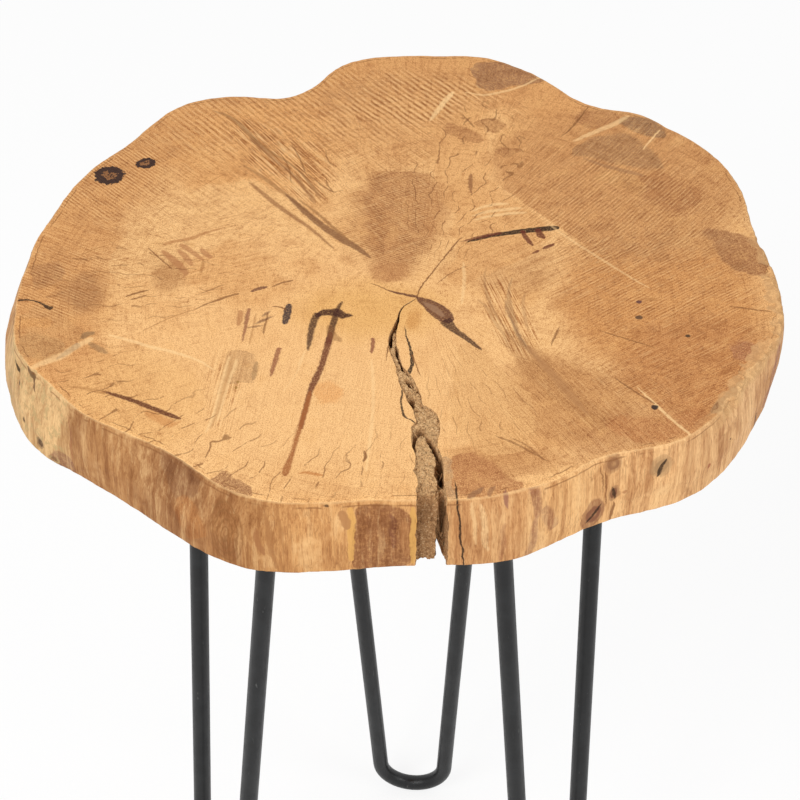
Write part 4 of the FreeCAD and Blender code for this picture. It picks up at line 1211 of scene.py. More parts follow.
@dataclass(frozen=True)
class LivingBark(Finish):
    """The peeled living edge: upright grain with brown figure, patches and knots.

    Tones are placed by their run along the edge, clockwise from the crack; marks, knots and slits by that
    run and their height above the underside.
    """

    # Marks with a wider rim than this are patches, which lie under the grain
    PATCH_SOFT = 1.0

    middle: tuple
    name: str = "peeled_living_edge"
    thickness: float = 40.0
    tones: tuple = (
        (0, (214, 162, 106)), (32, (212, 159, 103)), (58, (206, 153, 98)), (72, (178, 128, 80)),
        (94, (174, 125, 80)), (112, (160, 114, 74)), (128, (162, 115, 74)), (150, (180, 131, 84)),
        (179, (176, 128, 82)), (188, (214, 175, 124)), (244, (214, 178, 128)), (275, (198, 148, 96)),
        (400, (190, 138, 86)), (560, (206, 154, 98)), (700, (190, 138, 88)), (850, (208, 156, 100)),
        (930, (200, 151, 100)), (962, (206, 156, 108)), (1000, (236, 190, 138)), (1050, (230, 182, 129)),
        (1086, (231, 182, 127)), (1112, (236, 185, 126)), (1142, (206, 153, 102)), (1182, (196, 144, 94)),
    )
    marks: tuple = (
        Mark(((1.5, 17, 12), (5, 17, 16.5), (9, 18, 18), (14, 19, 19), (20, 19, 19.2), (26, 19, 18.5),
              (28.5, 18, 16)), paint(152, 102, 66), 1.6, 0.92),
        Mark(((11, 13, 0.6), (11.5, 19, 1.5), (11.5, 26, 1.6), (12, 32, 0.6)), paint(124, 76, 54), 1.2, 0.8),
        Mark(((5, 8, 1), (5.5, 18, 2.2), (6.5, 29, 1.2)), paint(186, 132, 84), 1.6, 0.6),
        Mark(((2, 3, 0.9), (2.5, 18, 1.4), (2.5, 36, 1)), paint(208, 158, 88), 0.8, 0.85),
        Mark(((30, 7, 1), (30, 20, 1.6), (30, 36, 1.4)), paint(214, 162, 92), 0.9, 0.8),
        Mark(((31.5, 26, 1.2), (33, 31, 2.1), (34.5, 35, 1.4)), paint(172, 122, 78), 0.9, 0.85),
        Mark(((73, 25, 0.5), (71, 18, 1.5), (68, 11, 0.5)), paint(158, 106, 66), 1, 0.8),
        Mark(((68, 33, 0.4), (66, 20, 1.2), (63, 3, 0.6)), paint(164, 114, 70), 1, 0.75),
        Mark(((63, 37, 0.4), (62, 28, 0.8), (60, 16, 0.2)), paint(168, 118, 72), 0.8, 0.7),
        Mark(((234, 34, 0.3), (230, 30, 0.9), (226, 26, 0.3)), SHADOW, 0.6, 0.9),
        Mark(((222, 39, 0.8), (217, 35.5, 1.3), (213, 31, 0.4)), paint(96, 68, 46), 0.8, 0.85),
        Mark(((1165.5, 40, 0.4), (1164.5, 30, 0.45), (1164.5, 22, 0.5), (1162.5, 1, 0.3)), SHADOW, 0.4, 0.92),
        Mark(((1155, 37, 0.5), (1153.5, 24, 1.5), (1152, 9, 0.6)), paint(240, 202, 150), 1.2, 0.6),
        Mark(((1159, 38, 0.4), (1158, 26, 0.9), (1157, 14, 0.3)), paint(238, 198, 144), 0.9, 0.5),
        Mark(((1143.5, 40, 1.2), (1143, 36, 1.1), (1142.5, 32, 0.2)), paint(146, 98, 82), 0.9, 0.8),
        Mark(((1144.5, 24, 0.5), (1145, 14, 1.4), (1145.5, 2, 1)), paint(174, 120, 82), 1.2, 0.75),
        Mark(((1130, 40, 2), (1128.5, 31, 2.4), (1129.5, 22, 1.5), (1130.5, 11, 1.9), (1132, 0.5, 2)),
             paint(160, 108, 80), 1.6, 0.85),
        Mark(((1119.5, 13, 2.4), (1122.5, 20, 3.2), (1125.5, 27, 2.4)), paint(172, 122, 88), 2.2, 0.75),
        Mark(((1091.5, 31, 0.3), (1091, 23, 0.4), (1090.5, 13, 0.2)), UMBER, 0.4, 0.8),
        Mark(((1093.5, 35, 0.2), (1093, 28, 0.35), (1092.5, 21, 0.2)), UMBER, 0.4, 0.7),
        Mark(((1086.5, 12, 0.2), (1087, 7, 0.8), (1087, 1, 0.4)), UMBER, 0.7, 0.8),
        Mark(((959, 39, 1.8), (966, 22, 3.2), (973, 5, 2.6)), paint(160, 112, 94), 2.2, 0.75),
        Mark(((984.5, 9, 0.6), (983.5, 0, 0.7)), SHADOW, 0.6, 0.8),
        Mark(((130, 38, 1), (124, 33, 5), (116, 31, 9.5), (108, 32, 7), (103, 34, 2)), paint(150, 108, 74),
             2.4, 0.8),
        Mark(((114, 24, 2), (107, 15, 8), (101, 8, 5)), paint(180, 122, 72), 3, 0.7),
        Mark(((196, 3, 1), (188, 5, 4.6), (181, 4, 3)), paint(150, 108, 84), 1.6, 0.8),
        Mark(((182, 8, 0.3), (181.5, 20, 1), (184.5, 33, 0.4)), paint(172, 118, 82), 1.2, 0.6),
    )
    knots: tuple = (
        Tick((1097.4, 9.5), (6.2, 9.6), 12, paint(128, 80, 58), 0.22, 0.92),
        Tick((1086.4, 17.5), (2.8, 5.4), 8, paint(120, 78, 56), 0.3, 0.92),
        Tick((1087.4, 35.5), (5.4, 5.6), 0, paint(142, 98, 66), 0.35, 0.9),
        Tick((1063.4, 27.5), (6.2, 7.4), -10, paint(164, 128, 90), 0.3, 0.9),
        Tick((1081.4, 17), (2.2, 1), 0, paint(170, 116, 76), 0.5, 0.8),
        Tick((1036.4, 15), (1.5, 2.2), 0, paint(156, 88, 58), 0.5, 0.85),
        Tick((1018.4, 19.5), (0.8, 1), 0, SHADOW, 0.5, 0.9),
        Tick((204, 5.5), (3.4, 4), 0, paint(86, 62, 46), 0.3, 0.92),
        Tick((242, 7), (1.4, 3), 20, paint(90, 68, 50), 0.5, 0.85),
        Tick((220, 9), (1.8, 2.8), 20, paint(80, 58, 42), 0.4, 0.9),
        Tick((193, 3.5), (2.4, 1.6), 0, paint(120, 84, 56), 0.4, 0.85),
        Tick((41.5, 38.4), (1.6, 1.3), 0, paint(70, 48, 34), 0.5, 0.9),
        Tick((480, 22), (7, 9), 0, paint(134, 88, 62), 0.25, 0.85),
        Tick((602, 12), (5, 6), 0, paint(118, 80, 56), 0.3, 0.85),
        Tick((760, 25), (8, 7), 15, paint(140, 94, 64), 0.25, 0.85),
        Tick((878, 17), (4, 6.5), 0, paint(120, 82, 60), 0.3, 0.85),
    )
    slits: tuple = (
        Mark(((1093.5, 14, 0.3), (1097.5, 9.5, 0.8), (1100.5, 5, 0.3)), SHADOW, 0.6, 0.85),
        Mark(((1065.5, 22, 0.4), (1063.5, 26, 1), (1061.5, 31, 0.3)), SHADOW, 0.6, 0.9),
        Mark(((1087, 21, 0.2), (1086, 17.5, 0.7), (1086, 14, 0.2)), SHADOW, 0.5, 0.8),
        Mark(((482, 28, 0.3), (480, 22, 0.9), (479, 16, 0.3)), SHADOW, 0.6, 0.8),
        Mark(((763, 28, 0.3), (760, 25, 0.9), (756, 22, 0.3)), SHADOW, 0.6, 0.8),
    )

    def upright(self, graph: Graph, place: Socket, width: float, tall: float, detail: float,
                roughness: float) -> Field:
        """Noise drawn out upwards: its lumps' width and height, and its fineness."""
        scaled = graph.local(place, (0.0, 0.0, 0.0), 0.0, (width, width, tall))
        return graph.noise(scaled, 1.0, detail, roughness, 0.3, False)

    def grain(self, graph: Graph, place: Socket, flare: Field, colour: Socket) -> tuple:
        """Lays upright grain in four sizes and hairlines on a colour; gives it, the streaks and the fibre."""
        cloud = self.upright(graph, place, 18.0, 26.0, 4.0, 0.65)
        band = self.upright(graph, place, 7.0, 90.0, 3.0, 0.6)
        streak = self.upright(graph, place, 2.2, 60.0, 4.0, 0.65)
        hair = self.upright(graph, place, 1.5, 44.0, 2.0, 0.5)
        fibre = self.upright(graph, place, 0.6, 5.0, 3.0, 0.7)
        # Each figure with the noise where it starts and ends to darken, and how much it darkens and lights
        figures = ((cloud, 0.50, 0.64, 0.5, 0.2), (band, 0.50, 0.62, 0.45, 0.2),
                   (streak, 0.50, 0.62, 0.45, 0.2), (fibre, 0.46, 0.68, 0.55, 0.0))
        for figure, low, high, dark, lit in figures:
            colour = graph.blend(colour, DARKER, figure.ease(low, high, 0.0, dark), "MULTIPLY")
            if lit:
                colour = graph.blend(colour, PALE, figure.ease(low - 0.04, low - 0.16, 0.0, lit))
        lines = (hair - 0.5).size().ease(0.04, 0.0) * cloud.ease(0.38, 0.50) * (1.0 - flare * 0.8)
        colour = graph.blend(colour, UMBER, lines * 0.4)
        return colour, streak, fibre

    def details(self, graph: Graph, soft: Socket, fine: Socket, fade: Field, colour: Socket) -> Socket:
        """Lays the marks, the knots with their rings, and the slits in the knots on a colour."""
        drawn = [mark for mark in self.marks if mark.soft <= self.PATCH_SOFT]
        colour = graph.layers("edge_marks", colour, fine, drawn, fade)
        for knot in self.knots:
            x, y = graph.axes_at(soft, knot.centre, knot.turn, knot.halves)
            spread = x * x + y * y
            rings = graph.math("SINE", spread * 9.0).ease(-0.4, 0.9, 0.6, 1.0)
            cover = spread.ease(1.0, (1.0 - knot.soft) ** 2) * rings * knot.strength
            colour = graph.blend(colour, knot.colour, cover)
        return graph.layers("edge_slits", colour, fine, self.slits, fade)

    def arris(self, graph: Graph, place: Socket, rise: Field, torn: Field, colour: Socket) -> Socket:
        """Rounded edge under the top: a pale line along it, which is painted highlight of the arris, a brown
        line further down, and torn wood on the right.
        """
        below = self.thickness - rise
        wander = graph.noise(place, 12.0, 3.0, 0.5, 0.0, False)
        # Painted highlight: a pale line along the rounded arris
        colour = graph.blend(colour, PALE, (below + wander * 2.0).ease(2.0, 0.9, 0.0, 0.35))
        brown = (below + wander * 3.0 - 4.2).size().ease(0.7, 0.2) * wander.ease(0.44, 0.54, 0.0, 0.6)
        colour = graph.blend(colour, UMBER, brown)
        crumbs = graph.noise(place, 3.6, 5.0, 0.75, 0.4, False)
        band = (below + wander * 14.0).ease(15.0, 12.0) * torn
        colour = self.crumbled(graph, colour, band, crumbs, (paint(222, 178, 124), paint(186, 140, 94)))
        return graph.blend(colour, WARMTH, 1.0, "MULTIPLY")

    def draw(self, graph: Graph) -> Socket:
        """Lays tones, stains, the figured loop, upright grain, knots and the arris with its painted highlight
        on each other.
        """
        place = graph.plan(self.middle)
        run = graph.attribute("run")
        rise = graph.attribute("rise")
        torn = graph.attribute("torn")
        flat = graph.vector(run, rise, 1.0)
        soft = graph.warp(flat, 9.0, 1.6, 4.0)
        fine = graph.warp(flat, 2.2, 0.5, 3.0)
        whole = self.tones[-1][0]
        stops = [(at / whole, paint(*tone)) for at, tone in self.tones]
        colour = graph.ramp(run / float(whole), stops)

        x, y = graph.axes_at(soft, (86.5, 18.0), -4.0, (8.5, 16.5))
        reach = graph.math("SQRT", x * x + y * y)
        loops = graph.math("SINE", reach * 26.0 + graph.noise(flat, 5.0, 2.0) * 4.0)
        inside = reach.ease(1.1, 0.9)
        colour = graph.blend(colour, paint(160, 110, 66), inside * 0.5)
        patches = [mark for mark in self.marks if mark.soft > self.PATCH_SOFT]
        speckle = graph.noise(flat, 2.0, 4.0, 0.75).ease(0.64, 0.46, 0.6, 1.0)
        colour = graph.layers("edge_patches", colour, soft, patches, speckle)

        flare = run.ease(183.0, 190.0) * run.ease(262.0, 244.0)
        colour, streak, fibre = self.grain(graph, place, flare, colour)
        colour = graph.blend(colour, paint(132, 88, 50), inside * loops.ease(0.1, 0.9, 0.0, 0.55))
        lichen = graph.noise(place, 5.0, 4.0, 0.7, 0.5, False)
        colour = graph.blend(colour, paint(176, 150, 104), lichen.ease(0.50, 0.60) * flare * 0.7)
        fade = fibre.ease(0.74, 0.50, 0.6, 1.0)
        colour = self.details(graph, soft, fine, fade, colour)
        colour = self.arris(graph, place, rise, torn, colour)
        normal = graph.bump(fibre * 0.5 + streak * 0.6, 0.5, 0.6)
        return self.principled(graph, Base_Color=colour, Roughness=0.62, Normal=normal,
                               Specular_IOR_Level=0.08)


@dataclass(frozen=True)
class SawnUnderside(Finish):
    """The sawn underside: unstained end grain with coarse saw marks."""

    middle: tuple
    name: str = "sawn_underside"

    def draw(self, graph: Graph) -> Socket:
        """Lays rings, rays and straight saw marks on each other."""
        place = graph.plan(self.middle, True)
        dx, dy = graph.axes_at(place, PITH, 0.0)
        bearing = graph.math("ARCTAN2", dx, dy)
        reach = graph.math("SQRT", dx * dx + dy * dy)
        cloud = graph.noise(place, 48.0, 3.0, 0.6)
        colour = graph.blend(paint(214, 166, 113), paint(188, 137, 88), cloud.ease(0.42, 0.62))
        rings = graph.noise(graph.vector(bearing * 1.6, reach * 0.30), 1.0, 3.0, 0.6)
        colour = graph.blend(colour, paint(200, 168, 138), rings.ease(0.46, 0.70, 0.0, 0.6), "MULTIPLY")
        rays = graph.noise(graph.vector(bearing * 80.0, reach * 0.03), 1.0, 2.0, 0.6)
        colour = graph.blend(colour, paint(205, 176, 150), rays.ease(0.50, 0.72, 0.0, 0.4), "MULTIPLY")
        saw = graph.grain(place, -38.0, 60.0, 2.0, 3.0, 0.6)
        colour = graph.blend(colour, paint(190, 150, 112), saw.ease(0.46, 0.66, 0.0, 0.6), "MULTIPLY")
        normal = graph.bump(saw, 0.5, 0.7)
        return self.principled(graph, Base_Color=colour, Roughness=0.74, Normal=normal,
                               Specular_IOR_Level=0.22)


@dataclass(frozen=True)
class TornWood(Finish):
    """The torn surface inside the crack: crumbly, greyish near the top and browner further down, darkened
    with depth by painted shade.
    """

    middle: tuple
    top: float
    name: str = "torn_fibre"

    def draw(self, graph: Graph) -> Socket:
        """Lays crumbs and strands on a colour that depends on the depth under the sawn face, with painted
        shade deeper down.
        """
        place = graph.plan(self.middle)
        _, _, z = graph.axes(place)
        depth = self.top - z
        crumbs = graph.noise(place, 1.0, 4.0, 0.75, 0.6, False)
        lumps = graph.noise(place, 4.2, 3.0, 0.6, 0.4, False)
        strands = graph.noise(graph.local(place, (0.0, 0.0, 0.0), 0.0, (1.0, 1.0, 6.0)), 1.0, 3.0, 0.6,
                              0.8, False)
        # Painted shade: the colour darkens with depth down the crack
        colour = graph.blend(paint(212, 170, 120), paint(188, 142, 96), (depth + lumps * 3.0).ease(3.0, 8.0))
        colour = graph.blend(colour, paint(126, 92, 62), depth.ease(4.5, 14.0, 0.0, 0.35))
        colour = graph.blend(colour, paint(116, 82, 54), crumbs.ease(0.50, 0.62, 0.0, 0.85))
        colour = graph.blend(colour, paint(228, 196, 154), crumbs.ease(0.45, 0.34, 0.0, 0.8))
        colour = graph.blend(colour, paint(150, 112, 78), strands.ease(0.52, 0.68, 0.0, 0.5))
        normal = graph.bump(crumbs * 0.7 + strands * 0.4, 0.9, 0.8)
        return self.principled(graph, Base_Color=colour, Roughness=0.86, Normal=normal,
                               Specular_IOR_Level=0.08)


@dataclass(frozen=True)
class PowderCoat(Finish):
    """Satin black coat on the steel, with a fine orange-peel texture and a few pale scuffs."""

    name: str = "satin_black_coat"

    def draw(self, graph: Graph) -> Socket:
        """Lays scuffs on the coat and roughens it with small bumps."""
        place = graph.plan((0.0, 0.0))
        peel = graph.noise(place, 1.1, 3.0, 0.55, 0.0, False)
        dust = graph.noise(place, 18.0, 4.0, 0.65, 0.0, False)
        scuff = graph.noise(graph.local(place, (0.0, 0.0, 0.0), 0.0, (2.0, 2.0, 11.0)), 1.0, 4.0, 0.7, 0.4,
                            False)
        colour = graph.blend(paint(10, 10, 11), paint(22, 23, 24), dust.ease(0.40, 0.65))
        colour = graph.blend(colour, paint(104, 104, 102), scuff.ease(0.64, 0.76, 0.0, 0.6))
        roughness = scuff.ease(0.45, 0.75, 0.36, 0.56)
        normal = graph.bump(peel, 0.12, 0.5)
        return self.principled(graph, Base_Color=colour, Roughness=roughness, Normal=normal,
                               Specular_IOR_Level=0.38)


@dataclass(frozen=True)
class ZincPlate(Finish):
    """Bright zinc on the screws, a little dull and yellowish in places."""

    name: str = "zinc_plate"

    def draw(self, graph: Graph) -> Socket:
        """Lays a faint stain on the metal and varies its roughness."""
        place = graph.plan((0.0, 0.0))
        stain = graph.noise(place, 3.0, 3.0, 0.6, 0.0, False)
        turned = graph.noise(graph.local(place, (0.0, 0.0, 0.0), 0.0, (4.0, 4.0, 0.25)), 1.0, 2.0, 0.5,
                             0.0, False)
        colour = graph.blend(paint(196, 198, 200), paint(176, 172, 156), stain.ease(0.42, 0.66))
        roughness = stain.ease(0.35, 0.70, 0.26, 0.44)
        normal = graph.bump(turned, 0.03, 0.5)
        return self.principled(graph, Base_Color=colour, Roughness=roughness, Normal=normal, Metallic=1.0)


class Skin(Enum):
    """The kinds of surface on the wood, in the order of the slab's material slots."""

    TOP = 0
    SIDE = 1
    UNDERSIDE = 2
    CRACK = 3


@dataclass(frozen=True)
class Knot:
    """A knot, slit or bruise on the living edge.

    It lies at a run along the edge and a height above the underside; its halves are its width and
    its height, and `rise` is how far it stands out, or sinks where it is below zero.
    """

    run: float
    height: float
    width: float
    tall: float
    rise: float


@dataclass
class Slab:
    """The slice of log: both sawn faces, the living edge and the open crack, as one closed skin.

    A point of the slab is given by `around`, its share of the way from the crack's left wall clockwise to
    the right wall, by `inward`, how far it lies inside the edge, and by its height. Its bearing about the
    pith is straight between the two walls' bearings at its own distance from the pith, so the walls may
    wind.
    """

    edge: LivingEdge
    underside: float
    thickness: float
    half_size: np.ndarray
    columns: int = 820
    side_rows: int = 26
    arris: float = 0.8
    edge_distances: tuple = (0.0, 0.4, 0.8, 1.4, 2.2, 3.2, 4.6, 6.6, 9.6, 14.0)
    inner_rows: int = 58
    margin: float = 0.02
    knots: tuple = (
        Knot(1097.4, 9.5, 5.6, 8.6, 0.7),
        Knot(1086.4, 17.5, 2.2, 4.6, -1),
        Knot(1087.4, 36, 4.6, 4.6, 0.7),
        Knot(1063.4, 27, 4.6, 5.6, -1.5),
        Knot(1018.4, 19.5, 1, 1.2, -0.8),
        Knot(230, 30, 1.1, 4.6, -1.8),
        Knot(217, 35.5, 1.3, 4.6, -1.8),
        Knot(204, 5.5, 2.8, 3.2, -1.4),
        Knot(242, 7, 1.4, 3, -1.6),
        Knot(220, 9, 1.7, 2.8, -1.6),
        Knot(87, 18, 8, 14, 0.7),
        Knot(12, 20, 2.2, 11, -0.6),
        Knot(480, 22, 6.4, 8, 1),
        Knot(602, 12, 4.6, 5.6, -1.5),
        Knot(760, 25, 7.4, 6.4, 0.9),
        Knot(878, 17, 3.8, 6, -1.4),
    )

    def wall_bearings(self, distance: np.ndarray, height: np.ndarray) -> tuple:
        """Bearings of both walls of the crack.

        Each is the wall line's bearing at that distance from the pith, moved by the torn surface's
        roughness divided by the distance.

        Args:
            distance: distance from the pith.
            height: height above the underside.

        Returns:
            The left wall's and the right wall's bearings, in radians.
        """
        bearings = []
        for wall, turn, seed in ((LEFT_WALL, 0.0, 3), (RIGHT_WALL, 2.0 * math.pi, 9)):
            offset = np.array(wall) - PITH
            reach = np.hypot(*offset.T)
            angle = np.arctan2(-offset[:, 0], -offset[:, 1]) + turn
            order = np.argsort(reach)
            level = np.interp(distance, reach[order], angle[order])
            place = stacked(distance, height, np.full_like(distance, 5.0 * seed))
            torn = (0.55 * rough(place, (2.6, 9.0, 5.0), 3, seed)
                    + 0.35 * rough(place, (0.9, 3.0, 5.0), 2, seed + 40))
            fade = smooth(distance, 12.0, 42.0)
            bearings.append(level + torn * fade / np.maximum(distance, 8.0))
        return bearings[0], bearings[1]

    def azimuth(self, bearing: np.ndarray, radius: np.ndarray) -> np.ndarray:
        """Azimuth about the legs' axis, in degrees, of a point given about the pith."""
        x = PITH[0] - radius * np.sin(bearing)
        y = PITH[1] - radius * np.cos(bearing)
        return np.mod(np.degrees(np.arctan2(y, x)), 360.0)

    def torn_share(self, azimuth: np.ndarray) -> np.ndarray:
        """How ragged the top arris is: 1 along the torn stretch on the right, 0 where it is crisp."""
        turn = np.mod(azimuth + 180.0, 360.0) - 180.0
        return smooth(turn, -46.0, -30.0) * smooth(turn, 12.0, -4.0)

    def side_relief(self, bearing: np.ndarray, height: np.ndarray) -> np.ndarray:
        """How far the living edge lies inside the outline.

        The sum of broad dents, upright flutes, fine grain ridges, knots, both arrises, and the torn
        stretch, where the top breaks away in chips that deepen towards the arris.

        Args:
            bearing: angle about the pith, in radians.
            height: height above the underside.

        Returns:
            Distances inwards; below zero where the wood stands out.
        """
        radius = self.edge.radius(bearing, height)
        x = -radius * np.sin(bearing)
        y = -radius * np.cos(bearing)
        place = stacked(x, y, height)
        relief = 0.42 * rough(place, (34.0, 34.0, 26.0), 2, 11)
        relief = relief + 0.28 * rough(place, (9.0, 9.0, 70.0), 3, 21)
        relief = relief + 0.10 * rough(place, (2.4, 2.4, 22.0), 2, 31)
        run = self.edge.run(bearing)
        for knot in self.knots:
            spread = np.hypot((run - knot.run) / knot.width, (height - knot.height) / knot.tall)
            bulge = np.exp(-spread ** 2 * 1.6)
            ring = np.exp(-((spread - 1.15) * 3.2) ** 2)
            relief = relief - knot.rise * bulge + 0.35 * abs(knot.rise) * ring
        below_top = self.thickness - height
        wander = rough(stacked(x, y, np.zeros_like(x)), (14.0, 14.0, 9.0), 3, 51)
        top_arris = self.arris * (0.95 + 0.55 * wander)
        relief = relief + top_arris * smooth(below_top, 2.0 * self.arris, 0.0) ** 2
        relief = relief + self.arris * smooth(height, 1.5 * self.arris, 0.0) ** 2
        torn = self.torn_share(self.azimuth(bearing, radius))
        chips = rough(stacked(x, y, height * 0.5), (4.5, 4.5, 4.5), 4, 61)
        plateau = smooth(chips, -0.20, 0.10) + 0.8 * smooth(chips, 0.30, 0.50)
        depth = np.maximum(4.0 + 5.0 * wander, 1.0)
        bite = smooth(below_top, depth + 2.4, depth * 0.4)
        return relief + torn * bite * (0.3 + 1.5 * plateau + 0.5 * chips)

    def surface(self, around: np.ndarray, inward: np.ndarray, height: np.ndarray) -> tuple:
        """Points of the slab.

        Args:
            around: share from the left wall of the crack, clockwise, to its right wall.
            inward: 0 at the edge to −1 at the last of edge_distances, then 1 there to 2 at the pith.
            height: height above the underside.

        Returns:
            Array of points in the table's own frame, and the values of the materials' attributes: the
            distance to the rim, the run along the edge, the height and the torn share.
        """
        around, inward, height = np.broadcast_arrays(around, inward, height)
        left, right = self.wall_bearings(np.full_like(around, SLAB_RADIUS), height)
        end_bearing = left + (right - left) * around
        radius = self.edge.radius(end_bearing, height)
        edge = radius - self.side_relief(end_bearing, height)
        band = self.edge_distances[-1]
        inner = (edge - band) * np.clip(2.0 - inward, 0.0, 1.0)
        distance = np.where(inward <= 0.0, edge + inward * band, inner)
        left, right = self.wall_bearings(distance, height)
        bearing = left + (right - left) * around
        azimuth = self.azimuth(end_bearing, radius)
        torn = self.torn_share(azimuth)
        inset = np.maximum(edge - distance, 0.0)
        x = PITH[0] - distance * np.sin(bearing)
        y = PITH[1] - distance * np.cos(bearing)
        lump = rough(stacked(x, y, np.zeros_like(x)), (5.0, 5.0, 5.0), 3, 71)
        sag = torn * np.exp(-inset / 2.2) * np.maximum(0.9 + 1.6 * lump, 0.0)
        sag = sag + 0.35 * np.exp(-inset / 0.8)
        drop = sag * smooth(height, self.thickness - 3.0, self.thickness)
        limit = self.half_size - self.margin
        x = np.clip(x - self.edge.middle[0], -limit[0], limit[0])
        y = np.clip(y - self.edge.middle[1], -limit[1], limit[1])
        points = stacked(x, y, self.underside + height - drop)
        values = {"rim": inset, "run": self.edge.run(end_bearing), "rise": height, "torn": torn}
        return points, values

    def build(self) -> bpy.types.Object:
        """Makes the slab's mesh, its skins in the order of Skin.

        Returns:
            The object named tabletop_slab.
        """
        around = np.linspace(0.0, 1.0, self.columns)
        band = self.edge_distances[-1]
        near = -np.array(self.edge_distances) / band
        far = np.linspace(1.0, 2.0, self.inner_rows)[1:]
        inward = np.concatenate([near, far])
        arris_rows = np.array([0.0, 0.35, 0.8, 1.5])
        body = np.linspace(2.4, self.thickness - 2.6, self.side_rows)
        heights = np.concatenate([arris_rows, body, self.thickness - arris_rows[::-1]])
        top = self.surface(around[:, None], inward[None, :], np.array(self.thickness))
        side = self.surface(around[:, None], np.array(0.0), heights[None, :])
        left = self.surface(np.array(0.0), inward[:, None], heights[None, :])
        right = self.surface(np.array(1.0), inward[:, None], heights[None, :])
        skins = (Skin.TOP, Skin.SIDE, Skin.CRACK, Skin.CRACK)
        sheets = [Sheet(points, skin.value, values)
                  for (points, values), skin in zip((top, side, left, right), skins)]
        rows = ((side, slice(None)), (right, slice(1, None)), (left, slice(-2, 0, -1)))
        outline = np.concatenate([points[part, 0] for (points, _), part in rows])
        values = {key: np.concatenate([given[key][part, 0] for (_, given), part in rows]) for key in top[1]}
        return closed_mesh("tabletop_slab", sheets, [(outline, Skin.UNDERSIDE.value, values)])


@dataclass(frozen=True)
class Well:
    """A hole or groove in the torn fibre: a line of plan points, its half width and its depth."""

    points: tuple
    half_width: float
    depth: float


